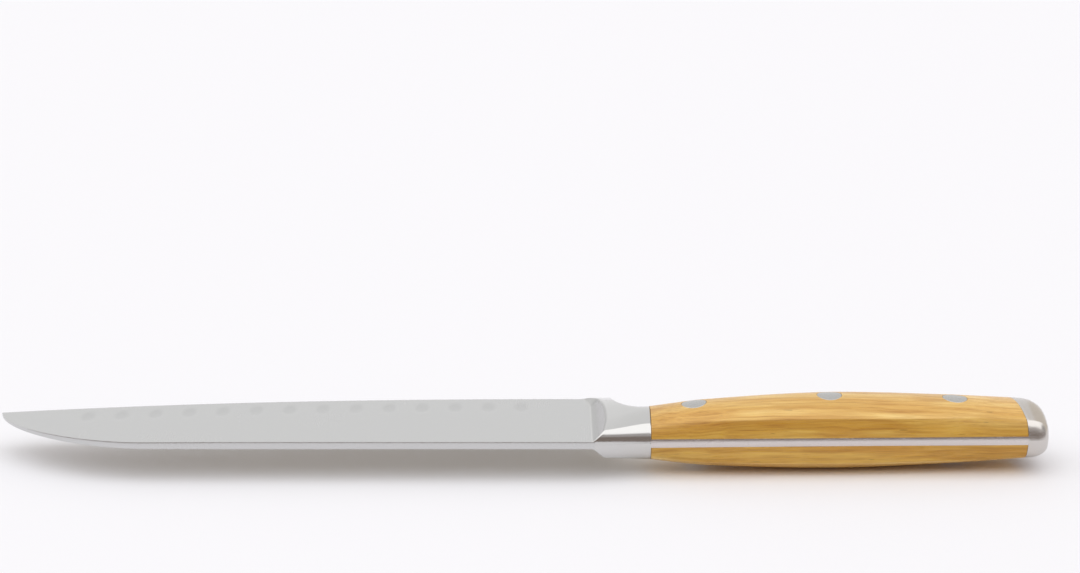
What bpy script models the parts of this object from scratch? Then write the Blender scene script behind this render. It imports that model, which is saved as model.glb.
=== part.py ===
"""Santoku knife: a hollow-ground chef's knife with a full tang, lying on its side.

X runs along the knife, tip towards -X and butt towards +X. The spine is on the -Y side and
the cutting edge on the +Y side. The blade lies level, its middle plane parallel to the table,
and the grip's fullest part rests on z = 0. The origin is the bottom centre of the whole knife.

The construction is worked out in knife coordinates: x is the distance behind the bolster's
front face, y the depth below the spine line, z the height above the blade's middle plane.
place() turns them into the part's own frame.
"""
import math

import bmesh
import bpy
from mathutils import Matrix, Vector

# Blade
BLADE_LENGTH = 0.1800
BLADE_HEIGHT = 0.0480
SPINE_THICKNESS = 0.0022
THICKNESS_BEHIND_EDGE = 0.0005
TIP_THICKNESS = 0.0004
TIP_TAPER_LENGTH = 0.0700
EDGE_THICKNESS = 0.0001
EDGE_BEVEL_HEIGHT = 0.0013
EDGE_RISE = 0.0145
EDGE_RISE_POWER = 2.4
SPINE_DROP_LENGTH = 0.0460
SPINE_DROP_POWER = 1.7
EDGE_SPANS = 12
TIP_EDGE_SPANS = 14
SPINE_DROP_SPANS = 22

# Hollows ground into both faces beside the cutting edge
HOLLOW_COUNT = 14
HOLLOW_PITCH = 0.0101
HOLLOW_LAST_TO_BOLSTER = 0.0218
HOLLOW_ABOVE_EDGE = 0.0103
HOLLOW_WIDTH = 0.0058
HOLLOW_HEIGHT = 0.0135
HOLLOW_DEPTH = 0.00018
HOLLOW_TOOL_RADIUS = 0.0030
HOLLOW_SIDES = 20
HOLLOW_RINGS = 14

# Bolster: two cheeks that cover the blade stock from spine to heel
BOLSTER_LENGTH = 0.0167
BOLSTER_FRONT_THICKNESS = 0.0094
BOLSTER_FRONT_POWER = 5.0
BOLSTER_RAMP_ANGLE = math.radians(48)
GUARD_LENGTH = 0.0046
GUARD_HEEL_THICKNESS = 0.0012
GUARD_THINNING_POWER = 2.5
GUARD_ROUNDING = 0.0060
GUARD_ROUNDING_POWER = 2.8
FINGER_CURVE_LENGTH = 0.0092
BOLSTER_SPANS = 7
FINGER_SPANS = 10

# Grip, measured at its neck, its front hand hold, its fullest part, its waist and the cap's joint
NECK_SPINE_INSET = 0.0018
NECK_DEPTH = 0.0228
NECK_THICKNESS = 0.0148
FRONT_PLACE = 0.0330
FRONT_DEPTH = 0.0231
FRONT_THICKNESS = 0.0191
SWELL_PLACE = 0.0700
SWELL_DEPTH = 0.0257
SWELL_THICKNESS = 0.0222
WAIST_PLACE = 0.1040
WAIST_DEPTH = 0.0266
WAIST_THICKNESS = 0.0199
CAP_JOINT_SPINE_INSET = 0.0046
CAP_JOINT_DEPTH = 0.0278
CAP_JOINT_THICKNESS = 0.0165
SECTION_SPANS = 9
GRIP_SPANS = 16

# Section of the grip, in shares of its half width and its half thickness: a crowned top that
# meets a steep side in a ridge
CROWN_DROP = 0.49
CROWN_POWER = 2.3
SIDE_LEAN = 0.085
SIDE_BEND = 0.21

# Tang and its tongue inside the end cap
TANG_THICKNESS = 0.0026
TONGUE_LENGTH = 0.0034
TONGUE_SPINE_MARGIN = 0.0060
TONGUE_BELLY_MARGIN = 0.0070

# End cap
HANDLE_LENGTH = 0.1349
CAP_LENGTH_AT_SPINE = 0.0063
CAP_JOINT_SLANT = math.radians(9)
CAP_ROUNDING = 0.0046
CAP_ROUNDING_LENGTH = 0.0090
CAP_ROUNDING_SPANS = 8

# Rivets, each a solid male half in a hollow female half
RIVET_PLACES = {"front": 0.0298, "middle": 0.0703, "rear": 0.1080}
RIVET_HEAD_DIAMETER = 0.0075
RIVET_HEAD_HEIGHT = 0.0026
RIVET_BARREL_DIAMETER = 0.0048
RIVET_SHANK_DIAMETER = 0.0030
RIVET_END_GAP = 0.0004
RIVET_SIDES = 28

# Clearances
HEAD_CLEARANCE = 0.0002
BARREL_CLEARANCE = 0.0003
SHANK_CLEARANCE = 0.0003
TONGUE_CLEARANCE = 0.0003

# Worked out from the sizes above
TIP_DEPTH = BLADE_HEIGHT - EDGE_RISE
TIP_TAPER_START = TIP_TAPER_LENGTH - BLADE_LENGTH
ORIGIN_X = (BLADE_LENGTH - HANDLE_LENGTH) / 2
ORIGIN_Y = -BLADE_HEIGHT / 2
ORIGIN_Z = SWELL_THICKNESS / 2
CAP_JOINT_PLACE = HANDLE_LENGTH - CAP_LENGTH_AT_SPINE
CUTTER_MARGIN = 0.004

# Finish of the meshes: points closer than this are one, the halvings that a search takes, and
# the angle from which a corner stays sharp
WELD_DISTANCE = 1e-7
HALVINGS = 50
SHARP_ANGLE = math.radians(40)


def place(x, y, z):
    """Turn knife coordinates into the part's own frame."""
    return Vector((x + ORIGIN_X, y + ORIGIN_Y, z + ORIGIN_Z))


def ease(t):
    """Go smoothly from 0 to 1 as t does."""
    t = min(max(t, 0.0), 1.0)
    return t * t * (3.0 - 2.0 * t)


def smooth_through(points, x):
    """Read a smooth curve through the points, which are (place, value) pairs in order."""
    slopes = []
    for i in range(len(points)):
        before = points[max(i - 1, 0)]
        after = points[min(i + 1, len(points) - 1)]
        slopes.append((after[1] - before[1]) / (after[0] - before[0]))
    last = len(points) - 2
    i = 0
    while i < last and x > points[i + 1][0]:
        i += 1
    (x0, v0), (x1, v1) = points[i], points[i + 1]
    span = x1 - x0
    t = (x - x0) / span
    t2 = t * t
    t3 = t2 * t
    start = (2 * t3 - 3 * t2 + 1) * v0 + (t3 - 2 * t2 + t) * span * slopes[i]
    end = (3 * t2 - 2 * t3) * v1 + (t3 - t2) * span * slopes[i + 1]
    return start + end


# Outlines of the blade and the grip, in knife coordinates
def edge_depth(x):
    """Depth of the cutting edge, which climbs towards the tip."""
    return BLADE_HEIGHT - EDGE_RISE * (-x / BLADE_LENGTH) ** EDGE_RISE_POWER


def spine_depth(x):
    """Depth of the blade's spine: straight, then a sheep's-foot drop to the tip."""
    run = (-x - (BLADE_LENGTH - SPINE_DROP_LENGTH)) / SPINE_DROP_LENGTH
    if run <= 0.0:
        return 0.0
    left = max(1.0 - min(run, 1.0) ** SPINE_DROP_POWER, 0.0)
    return TIP_DEPTH * (1.0 - left ** (1.0 / SPINE_DROP_POWER))


def face_height(x, y):
    """Height of the blade's face over the middle plane.

    The face is flat from the bolster to the start of the tip's taper, and flat again from there
    to the tip, leaning in a little more. Inside the bolster the stock thickens to the tang.
    """
    share = (BLADE_HEIGHT - y) / BLADE_HEIGHT
    flat = (THICKNESS_BEHIND_EDGE + (SPINE_THICKNESS - THICKNESS_BEHIND_EDGE) * share) / 2
    if x >= 0.0:
        return flat + (TANG_THICKNESS - SPINE_THICKNESS) / 2 * x / BOLSTER_LENGTH
    if x >= TIP_TAPER_START:
        return flat
    tip_share = EDGE_RISE / BLADE_HEIGHT
    tip_flat = (THICKNESS_BEHIND_EDGE + (SPINE_THICKNESS - THICKNESS_BEHIND_EDGE) * tip_share) / 2
    lean = (tip_flat - TIP_THICKNESS / 2) / TIP_TAPER_LENGTH
    return flat - lean * (TIP_TAPER_START - x)


def grip_spine(x):
    """Depth of the grip's spine side, which falls away in a straight line behind the neck."""
    share = (x - BOLSTER_LENGTH) / (CAP_JOINT_PLACE - BOLSTER_LENGTH)
    return NECK_SPINE_INSET + (CAP_JOINT_SPINE_INSET - NECK_SPINE_INSET) * share


def grip_depth(x):
    """Distance from the grip's spine side to its belly."""
    return smooth_through([(BOLSTER_LENGTH, NECK_DEPTH), (FRONT_PLACE, FRONT_DEPTH),
                           (SWELL_PLACE, SWELL_DEPTH), (WAIST_PLACE, WAIST_DEPTH),
                           (CAP_JOINT_PLACE, CAP_JOINT_DEPTH)], x)


def grip_half_thickness(x):
    """Half of the grip's thickness, fullest at the swell."""
    full = smooth_through([(BOLSTER_LENGTH, NECK_THICKNESS), (FRONT_PLACE, FRONT_THICKNESS),
                           (SWELL_PLACE, SWELL_THICKNESS), (WAIST_PLACE, WAIST_THICKNESS),
                           (CAP_JOINT_PLACE, CAP_JOINT_THICKNESS)], x)
    return full / 2


def bolster_spine(x):
    """Depth of the bolster's spine side, level with the blade's spine at the front."""
    return NECK_SPINE_INSET * ease(x / BOLSTER_LENGTH)


def finger_point(turn):
    """Point on the curve behind the heel, at a turn from 0 at the guard to 90 degrees at the neck."""
    neck = grip_spine(BOLSTER_LENGTH) + NECK_DEPTH
    x = GUARD_LENGTH + FINGER_CURVE_LENGTH * (1.0 - math.cos(turn))
    y = BLADE_HEIGHT - (BLADE_HEIGHT - neck) * math.sin(turn)
    return x, y


# Mesh helpers
def new_object(name, mesh, material):
    """Link a mesh to the scene as a named object with one material."""
    item = bpy.data.objects.new(name, mesh)
    mesh.materials.append(material)
    bpy.context.scene.collection.objects.link(item)
    return item


def finish_mesh(name, bm):
    """Weld, point the faces outwards and hand the bmesh over as a mesh."""
    bmesh.ops.remove_doubles(bm, verts=bm.verts, dist=WELD_DISTANCE)
    bmesh.ops.recalc_face_normals(bm, faces=bm.faces)
    mesh = bpy.data.meshes.new(name)
    bm.to_mesh(mesh)
    bm.free()
    return mesh


def shade_round(mesh):
    """Shade a round piece smooth, with its real corners kept sharp."""
    mesh.shade_smooth()
    mesh.set_sharp_from_angle(angle=SHARP_ANGLE)


def hidden_tool(name, mesh):
    """Link a mesh as a cutter, which is a guide and not a piece of the knife."""
    tool = bpy.data.objects.new(name, mesh)
    bpy.context.scene.collection.objects.link(tool)
    tool.hide_render = True
    tool.display_type = "WIRE"
    return tool


def add_boolean(item, tool, operation):
    """Cut or trim an object with a hidden tool."""
    modifier = item.modifiers.new(tool.name, "BOOLEAN")
    modifier.operation = operation
    modifier.solver = "EXACT"
    modifier.object = tool


def loft(bm, loops):
    """Skin matching point loops with quads and close the first and the last with a face."""
    rings = [[bm.verts.new(point) for point in loop] for loop in loops]
    for ring, following in zip(rings, rings[1:]):
        count = len(ring)
        for i in range(count):
            j = (i + 1) % count
            bm.faces.new((ring[i], ring[j], following[j], following[i]))
    bm.faces.new(rings[0])
    bm.faces.new(rings[-1])


def turned(bm, profile, sides, centre):
    """Turn a closed profile of (radius, height) points about a vertical axis."""
    rings = []
    for radius, height in profile:
        if radius == 0.0:
            rings.append([bm.verts.new(centre + Vector((0.0, 0.0, height)))])
            continue
        ring = []
        for i in range(sides):
            turn = 2.0 * math.pi * i / sides
            spot = Vector((radius * math.cos(turn), radius * math.sin(turn), height))
            ring.append(bm.verts.new(centre + spot))
        rings.append(ring)
    for ring, following in zip(rings, rings[1:]):
        for i in range(sides):
            j = (i + 1) % sides
            corners = [ring[i % len(ring)], ring[j % len(ring)],
                       following[j % len(following)], following[i % len(following)]]
            bm.faces.new(list(dict.fromkeys(corners)))


def make_material(name, colour, roughness, metallic):
    """Make a plain finish from a linear colour."""
    material = bpy.data.materials.new(name)
    material.use_nodes = True
    shader = material.node_tree.nodes["Principled BSDF"]
    shader.inputs["Base Color"].default_value = (*colour, 1.0)
    shader.inputs["Roughness"].default_value = roughness
    shader.inputs["Metallic"].default_value = metallic
    material.diffuse_color = (*colour, 1.0)
    return material


# Cross-sections of the grip, the bolster and the cap
def squared_ellipse(share, power):
    """Height of a squared ellipse of unit size, at a share of its half width."""
    return max(1.0 - abs(share) ** power, 0.0) ** (1.0 / power)


def side_reach(height):
    """Share of the half width that the grip's side reaches at a share of the half thickness."""
    return 1.0 - SIDE_LEAN * height - SIDE_BEND * height ** 2


def section_height(share):
    """Height of the grip's section of unit size, at a share of its half width."""
    left = max(1.0 - abs(share), 0.0)
    crown = 1.0 - CROWN_DROP * abs(share) ** CROWN_POWER
    side = (math.sqrt(SIDE_LEAN ** 2 + 4.0 * SIDE_BEND * left) - SIDE_LEAN) / (2.0 * SIDE_BEND)
    return min(crown, side)


def spread(low, high):
    """Spots from low through 0 to high, closer together towards both ends."""
    turns = [math.pi / 2 * i / SECTION_SPANS for i in range(SECTION_SPANS + 1)]
    near = [low * math.sin(turn) for turn in reversed(turns)]
    return near + [high * math.sin(turn) for turn in turns[1:]]


def half_section(spine, belly, half_thickness, floor):
    """Arc over one side of the grip, from its spine side across to its belly side.

    spine and belly are (x, y) points in the section's plane. The arc starts and ends at the
    height floor, where the piece meets the tang.
    """
    reach = side_reach(floor / half_thickness)
    arc = []
    for spot in spread(-reach, reach):
        share = (1.0 + spot) / 2
        height = floor if abs(spot) == reach else half_thickness * section_height(spot)
        arc.append((spine[0] + (belly[0] - spine[0]) * share,
                    spine[1] + (belly[1] - spine[1]) * share, height))
    return arc


def grip_station(share):
    """Spine point, belly point and half thickness of the grip, 0 at the neck and 1 at the cap."""
    run = CAP_JOINT_PLACE - BOLSTER_LENGTH
    lean = CAP_JOINT_DEPTH * math.tan(CAP_JOINT_SLANT)
    spine_x = BOLSTER_LENGTH + run * share
    belly_x = BOLSTER_LENGTH + (run - lean) * share
    middle_x = (spine_x + belly_x) / 2
    spine = (spine_x, grip_spine(spine_x))
    belly = (belly_x, grip_spine(middle_x) + grip_depth(middle_x))
    return spine, belly, grip_half_thickness(middle_x)


def grip_stations():
    """Stations of the grip in order from the neck to the end cap's joint."""
    return [grip_station(i / GRIP_SPANS) for i in range(GRIP_SPANS + 1)]


def cap_stations():
    """Stations of the end cap from its joint to the butt, drawn in where it is rounded."""
    joint_spine, joint_belly, joint_half = grip_station(1.0)
    depth = joint_belly[1] - joint_spine[1]
    slope = (joint_half - grip_station(1.0 - 1.0 / GRIP_SPANS)[2]) * GRIP_SPANS
    slope = slope / (CAP_JOINT_PLACE - BOLSTER_LENGTH)
    spine_run = HANDLE_LENGTH - joint_spine[0]
    belly_run = HANDLE_LENGTH - joint_belly[0]
    stations = [(joint_spine, joint_belly, joint_half)]
    for i in range(CAP_ROUNDING_SPANS + 1):
        turn = math.pi / 2 * i / CAP_ROUNDING_SPANS
        share = 1.0 - CAP_ROUNDING_LENGTH / belly_run * (1.0 - math.sin(turn))
        inset = CAP_ROUNDING * (1.0 - math.cos(turn))
        spine_x = joint_spine[0] + spine_run * share
        belly_x = joint_belly[0] + belly_run * share
        spine = (spine_x, joint_spine[1] + inset)
        belly = (belly_x, joint_spine[1] + depth - inset)
        half = joint_half + slope * (spine_x - joint_spine[0]) - inset
        stations.append((spine, belly, half))
    return stations


def bolster_height(x, y, belly):
    """Height of the bolster's outside over the middle plane, where it reaches to the depth belly.

    From its crown it rounds over to the spine side, more squarely at the front than at the
    wood. Towards the heel it thins, and it rounds over to its own edge.
    """
    along = ease(x / BOLSTER_LENGTH)
    spine = bolster_spine(x)
    crown = spine + NECK_DEPTH / 2
    half = (BOLSTER_FRONT_THICKNESS + (NECK_THICKNESS - BOLSTER_FRONT_THICKNESS) * along) / 2

    def rounded(share, power):
        """Height of the section of unit size: squared at the front, the grip's at the wood."""
        squared = squared_ellipse(share, power)
        return squared + (section_height(share) - squared) * along

    if y <= crown:
        return half * rounded((crown - y) / (crown - spine), BOLSTER_FRONT_POWER)
    rounding = min(GUARD_ROUNDING + (NECK_DEPTH / 2 - GUARD_ROUNDING) * along, belly - crown)
    thinning = ((y - crown) / (BLADE_HEIGHT - crown)) ** GUARD_THINNING_POWER
    half = half - (half - GUARD_HEEL_THICKNESS / 2) * thinning
    return half * rounded(max(y - belly + rounding, 0.0) / rounding, GUARD_ROUNDING_POWER)


def bolster_section(x, belly):
    """Arc over one side of the bolster at a distance x, ending at the depth belly."""
    crown = bolster_spine(x) + NECK_DEPTH / 2

    def meets_face(inside, outside):
        """Depth between the two where the outside comes down to the blade's face."""
        for _ in range(HALVINGS):
            middle = (inside + outside) / 2
            if bolster_height(x, middle, belly) > face_height(x, middle):
                inside = middle
            else:
                outside = middle
        return inside

    low = meets_face(crown, bolster_spine(x)) - crown
    high = meets_face(crown, belly) - crown
    arc = []
    for spot in spread(low, high):
        y = crown + spot
        height = face_height(x, y) if spot in (low, high) else bolster_height(x, y, belly)
        arc.append((x, y, height))
    return arc


def bolster_arcs():
    """Arcs over one side of the bolster, from its front face to the wood."""
    neck_belly = grip_spine(BOLSTER_LENGTH) + NECK_DEPTH
    arcs = []
    for i in range(BOLSTER_SPANS):
        arcs.append(bolster_section(GUARD_LENGTH * i / BOLSTER_SPANS, BLADE_HEIGHT))
    for i in range(FINGER_SPANS + 1):
        x, y = finger_point(math.pi / 2 * i / FINGER_SPANS)
        arcs.append(bolster_section(x, y))
    arcs.append(bolster_section(BOLSTER_LENGTH, neck_belly))
    return arcs


# Pieces
def side_mesh(name, arcs, side):
    """Mesh of a half piece from its arcs, mirrored downwards where side is -1."""
    bm = bmesh.new()
    loft(bm, [[place(x, y, side * z) for x, y, z in arc] for arc in arcs])
    return finish_mesh(name, bm)


def make_bolster_cheek(name, side, material):
    """One cheek of the bolster, with its front cut back to a ramp that meets the blade's face."""
    mesh = side_mesh(name, bolster_arcs(), side)
    bm = bmesh.new()
    bm.from_mesh(mesh)
    foot = place(0.0, 0.0, side * face_height(0.0, 0.0))
    heel = place(0.0, BLADE_HEIGHT, side * face_height(0.0, BLADE_HEIGHT))
    rise = Vector((math.cos(BOLSTER_RAMP_ANGLE), 0.0, side * math.sin(BOLSTER_RAMP_ANGLE)))
    normal = (heel - foot).cross(rise).normalized()
    if normal.x > 0.0:
        normal = -normal
    everything = bm.verts[:] + bm.edges[:] + bm.faces[:]
    bmesh.ops.bisect_plane(bm, geom=everything, dist=WELD_DISTANCE / 10, plane_co=foot,
                           plane_no=normal, clear_outer=True)
    rim = [edge for edge in bm.edges if edge.is_boundary]
    bmesh.ops.edgeloop_fill(bm, edges=rim)
    bpy.data.meshes.remove(mesh)
    mesh = finish_mesh(name, bm)
    shade_round(mesh)
    return new_object(name, mesh, material)


def grip_arcs(floor):
    """Arcs over one side of the wood, whose flat side lies at the height floor."""
    return [half_section(spine, belly, half, floor) for spine, belly, half in grip_stations()]


def full_loops(stations):
    """Closed loops all round the grip at its stations."""
    loops = []
    for spine, belly, half in stations:
        upper = half_section(spine, belly, half, 0.0)
        lower = [(x, y, -z) for x, y, z in reversed(upper[1:-1])]
        loops.append([place(x, y, z) for x, y, z in upper + lower])
    return loops


def make_grip_form():
    """Solid form of the whole grip, a hidden tool that trims the rivet heads flush."""
    bm = bmesh.new()
    loft(bm, full_loops(grip_stations()))
    return hidden_tool("grip_form", finish_mesh("grip_form", bm))


def rivet_spot(rivet):
    """Centre of a rivet in knife coordinates: halfway across the grip's depth."""
    x = RIVET_PLACES[rivet]
    return x, grip_spine(x) + grip_depth(x) / 2


def head_seat(rivet):
    """Height of the seat under a rivet's head, over the middle plane."""
    return grip_half_thickness(RIVET_PLACES[rivet]) - RIVET_HEAD_HEIGHT


def make_scale_tool(side):
    """Hidden tool that bores one scale for its rivets: a seat for each head and a hole below."""
    bm = bmesh.new()
    head = RIVET_HEAD_DIAMETER / 2 + HEAD_CLEARANCE
    barrel = RIVET_BARREL_DIAMETER / 2 + BARREL_CLEARANCE
    for rivet in RIVET_PLACES:
        x, y = rivet_spot(rivet)
        seat = head_seat(rivet)
        top = seat + RIVET_HEAD_HEIGHT + CUTTER_MARGIN
        profile = [(0.0, -CUTTER_MARGIN / 2), (barrel, -CUTTER_MARGIN / 2), (barrel, seat),
                   (head, seat), (head, top), (0.0, top)]
        turned(bm, [(radius, side * height) for radius, height in profile],
               RIVET_SIDES, place(x, y, 0.0))
    name = "scale_bores_upper" if side > 0 else "scale_bores_lower"
    return hidden_tool(name, finish_mesh(name, bm))


def make_scale(name, side, material):
    """One bamboo scale, flat against the tang and bored for the rivets."""
    mesh = side_mesh(name, grip_arcs(TANG_THICKNESS / 2), side)
    shade_round(mesh)
    item = new_object(name, mesh, material)
    add_boolean(item, make_scale_tool(side), "DIFFERENCE")
    return item


def male_profile(rivet):
    """Profile of the male half: a head over a solid shank that stops short in its socket."""
    seat = head_seat(rivet)
    shank = RIVET_SHANK_DIAMETER / 2
    head = RIVET_HEAD_DIAMETER / 2
    top = seat + RIVET_HEAD_HEIGHT + CUTTER_MARGIN
    foot = RIVET_END_GAP - seat
    return [(0.0, foot), (shank, foot), (shank, seat), (head, seat), (head, top), (0.0, top)]


def female_profile(rivet):
    """Profile of the female half, drawn head up: a head over a barrel with a blind bore."""
    seat = head_seat(rivet)
    bore = RIVET_SHANK_DIAMETER / 2 + SHANK_CLEARANCE
    barrel = RIVET_BARREL_DIAMETER / 2
    head = RIVET_HEAD_DIAMETER / 2
    top = seat + RIVET_HEAD_HEIGHT + CUTTER_MARGIN
    mouth = RIVET_END_GAP - seat
    return [(0.0, seat), (bore, seat), (bore, mouth), (barrel, mouth), (barrel, seat),
            (head, seat), (head, top), (0.0, top)]


def make_rivet_half(name, rivet, profile, side, form, material):
    """One half of a rivet, its head ground flush with the wood."""
    x, y = rivet_spot(rivet)
    bm = bmesh.new()
    turned(bm, [(radius, side * height) for radius, height in profile],
           RIVET_SIDES, place(x, y, 0.0))
    mesh = finish_mesh(name, bm)
    shade_round(mesh)
    item = new_object(name, mesh, material)
    add_boolean(item, form, "INTERSECT")
    return item


def make_end_cap(material):
    """The end cap: a rounded steel butt with a slot for the tang's tongue."""
    bm = bmesh.new()
    loft(bm, full_loops(cap_stations()))
    mesh = finish_mesh("end_cap", bm)
    shade_round(mesh)
    item = new_object("end_cap", mesh, material)
    corners = tongue_corners(TONGUE_CLEARANCE)
    height = TANG_THICKNESS / 2 + TONGUE_CLEARANCE
    bm = bmesh.new()
    loft(bm, [[place(x, y, z) for x, y in corners] for z in (-height, height)])
    add_boolean(item, hidden_tool("tongue_slot", finish_mesh("tongue_slot", bm)), "DIFFERENCE")
    return item


def tongue_corners(clearance):
    """Corners of the tang's tongue, grown by a clearance, which also takes it through the joint."""
    spine, belly, _ = grip_station(1.0)
    near_y = spine[1] + TONGUE_SPINE_MARGIN - clearance
    far_y = belly[1] - TONGUE_BELLY_MARGIN + clearance
    rake = (belly[0] - spine[0]) / (belly[1] - spine[1])
    near_x = spine[0] + rake * (near_y - spine[1])
    far_x = spine[0] + rake * (far_y - spine[1])
    front = CUTTER_MARGIN if clearance > 0.0 else 0.0
    reach = TONGUE_LENGTH + clearance
    return [(near_x - front, near_y), (near_x + reach, near_y),
            (far_x + reach, far_y), (far_x - front, far_y)]


def blade_tip_station():
    """Place near the tip where the cutting bevel takes up the whole of the blade's depth."""
    low, high = -BLADE_LENGTH, -BLADE_LENGTH + SPINE_DROP_LENGTH
    for _ in range(HALVINGS):
        middle = (low + high) / 2
        if edge_depth(middle) - spine_depth(middle) < EDGE_BEVEL_HEIGHT:
            low = middle
        else:
            high = middle
    return high


def spine_run(start, end):
    """Spine line between two places on the blade, as (x, y), with its bends in the drop."""
    first = blade_tip_station()
    run = SPINE_DROP_LENGTH - BLADE_LENGTH - first
    turns = [math.pi / 2 * i / SPINE_DROP_SPANS for i in range(SPINE_DROP_SPANS + 1)]
    bends = [first + run * (1.0 - math.cos(turn)) for turn in turns]
    places = [start] + [x for x in bends if start < x < end] + [end]
    return [(x, spine_depth(x)) for x in places]


def bolster_spine_points():
    """Spine line of the stock inside the bolster, from its front face to the wood."""
    places = [GUARD_LENGTH * i / BOLSTER_SPANS for i in range(BOLSTER_SPANS)]
    places += [finger_point(math.pi / 2 * i / FINGER_SPANS)[0] for i in range(FINGER_SPANS + 1)]
    return [(x, bolster_spine(x)) for x in places + [BOLSTER_LENGTH]]


def blade_heel_points():
    """Outline behind the heel, from the wood down the finger curve to the guard's front."""
    points = [(BOLSTER_LENGTH, NECK_SPINE_INSET + NECK_DEPTH)]
    for i in range(FINGER_SPANS, -1, -1):
        points.append(finger_point(math.pi / 2 * i / FINGER_SPANS))
    points.append((0.0, BLADE_HEIGHT))
    return points


def edge_stations():
    """Places along the cutting edge from the bolster to the tip, evenly spaced in each face."""
    first = blade_tip_station()
    flat = [TIP_TAPER_START * i / EDGE_SPANS for i in range(EDGE_SPANS)]
    run = first - TIP_TAPER_START
    return flat + [TIP_TAPER_START + run * i / TIP_EDGE_SPANS for i in range(TIP_EDGE_SPANS + 1)]


def tang_outline():
    """Tang outline from the neck's spine corner round the tongue to its belly corner."""
    stations = grip_stations()
    spine_side = [half_section(*station, TANG_THICKNESS / 2)[0][:2] for station in stations]
    belly_side = [half_section(*station, TANG_THICKNESS / 2)[-1][:2] for station in stations]
    return spine_side + tongue_corners(0.0) + belly_side[::-1]


def make_blade_mesh():
    """Blade and tang as one piece of steel, before it is drilled and hollow-ground."""
    bm = bmesh.new()

    def pair(x, y, height):
        return bm.verts.new(place(x, y, height)), bm.verts.new(place(x, y, -height))

    def face_pairs(points):
        return [pair(x, y, face_height(x, y)) for x, y in points]

    taper = face_pairs(spine_run(blade_tip_station(), TIP_TAPER_START))
    spine = taper[-1:] + face_pairs(spine_run(TIP_TAPER_START, 0.0)[1:])
    stock = spine[-1:] + face_pairs(bolster_spine_points()[1:])
    heel = face_pairs(blade_heel_points())
    tang = [pair(x, y, TANG_THICKNESS / 2) for x, y in tang_outline()]
    stations = edge_stations()
    shoulder = face_pairs([(x, edge_depth(x) - EDGE_BEVEL_HEIGHT) for x in stations[:-1]])
    shoulder.append(taper[0])
    land = [pair(x, edge_depth(x), EDGE_THICKNESS / 2) for x in stations]
    point = pair(-BLADE_LENGTH, TIP_DEPTH, EDGE_THICKNESS / 2)

    for side in (0, 1):
        bm.faces.new([item[side] for item in taper + shoulder[EDGE_SPANS:-1]])
        bm.faces.new([item[side] for item in spine + shoulder[:EDGE_SPANS + 1]])
        bm.faces.new([item[side] for item in stock + heel + shoulder[:1]])
        bm.faces.new([item[side] for item in tang])
        bm.faces.new([stock[-1][side], heel[0][side], tang[-1][side], tang[0][side]])
        for i in range(len(stations) - 1):
            bm.faces.new([shoulder[i][side], shoulder[i + 1][side],
                          land[i + 1][side], land[i][side]])
        bm.faces.new([shoulder[-1][side], land[-1][side], point[side]])
        bm.faces.new([shoulder[0][side], heel[-1][side], land[0][side]])
    for line in (taper, spine, stock, heel[:-1], land + [point, taper[0]], tang[1:-1]):
        for first, second in zip(line, line[1:]):
            bm.faces.new([first[0], second[0], second[1], first[1]])
    bm.faces.new([heel[-2][0], heel[-1][0], land[0][0], land[0][1], heel[-1][1], heel[-2][1]])
    bm.faces.new([tang[0][0], tang[1][0], tang[1][1], tang[0][1], stock[-1][1], stock[-1][0]])
    bm.faces.new([tang[-2][0], tang[-1][0], heel[0][0], heel[0][1], tang[-1][1], tang[-2][1]])
    return finish_mesh("blade", bm)


def hollow_ring_radius(height):
    """Share of the hollow tool's full radius at a height over its centre."""
    return math.sqrt(max(1.0 - (height / HOLLOW_TOOL_RADIUS) ** 2, 0.0))


def make_hollow_tool():
    """Hidden tool: a row of flattened balls that graze both faces of the blade."""
    reach = hollow_ring_radius(HOLLOW_TOOL_RADIUS - HOLLOW_DEPTH)
    along = HOLLOW_WIDTH / 2 / reach
    across = HOLLOW_HEIGHT / 2 / reach
    lean = math.atan((face_height(0.0, 0.0) - face_height(0.0, BLADE_HEIGHT)) / BLADE_HEIGHT)
    bm = bmesh.new()
    for i in range(HOLLOW_COUNT):
        x = -HOLLOW_LAST_TO_BOLSTER - HOLLOW_PITCH * i
        y = edge_depth(x) - HOLLOW_ABOVE_EDGE
        for side in (1, -1):
            centre = place(x, y, side * (face_height(x, y) + HOLLOW_TOOL_RADIUS - HOLLOW_DEPTH))
            ball = bmesh.ops.create_uvsphere(bm, u_segments=HOLLOW_SIDES, v_segments=HOLLOW_RINGS,
                                             radius=1.0)
            size = Matrix.Diagonal((along, across, HOLLOW_TOOL_RADIUS, 1.0))
            spot = Matrix.Translation(centre) @ Matrix.Rotation(-side * lean, 4, "X")
            bmesh.ops.transform(bm, verts=ball["verts"], matrix=spot @ size)
    return hidden_tool("hollow_grinder", finish_mesh("hollow_grinder", bm))


def make_tang_tool():
    """Hidden tool that drills the tang for the rivet barrels."""
    bm = bmesh.new()
    radius = RIVET_BARREL_DIAMETER / 2 + BARREL_CLEARANCE
    for rivet in RIVET_PLACES:
        x, y = rivet_spot(rivet)
        profile = [(0.0, -TANG_THICKNESS), (radius, -TANG_THICKNESS),
                   (radius, TANG_THICKNESS), (0.0, TANG_THICKNESS)]
        turned(bm, profile, RIVET_SIDES, place(x, y, 0.0))
    return hidden_tool("tang_drill", finish_mesh("tang_drill", bm))


def make_blade(material):
    """The blade with its full tang, drilled for the rivets and hollow-ground on both faces."""
    item = new_object("blade", make_blade_mesh(), material)
    add_boolean(item, make_tang_tool(), "DIFFERENCE")
    add_boolean(item, make_hollow_tool(), "DIFFERENCE")
    return item


def clear_scene():
    """Remove what the scene already holds."""
    for item in list(bpy.data.objects):
        bpy.data.objects.remove(item, do_unlink=True)


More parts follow.
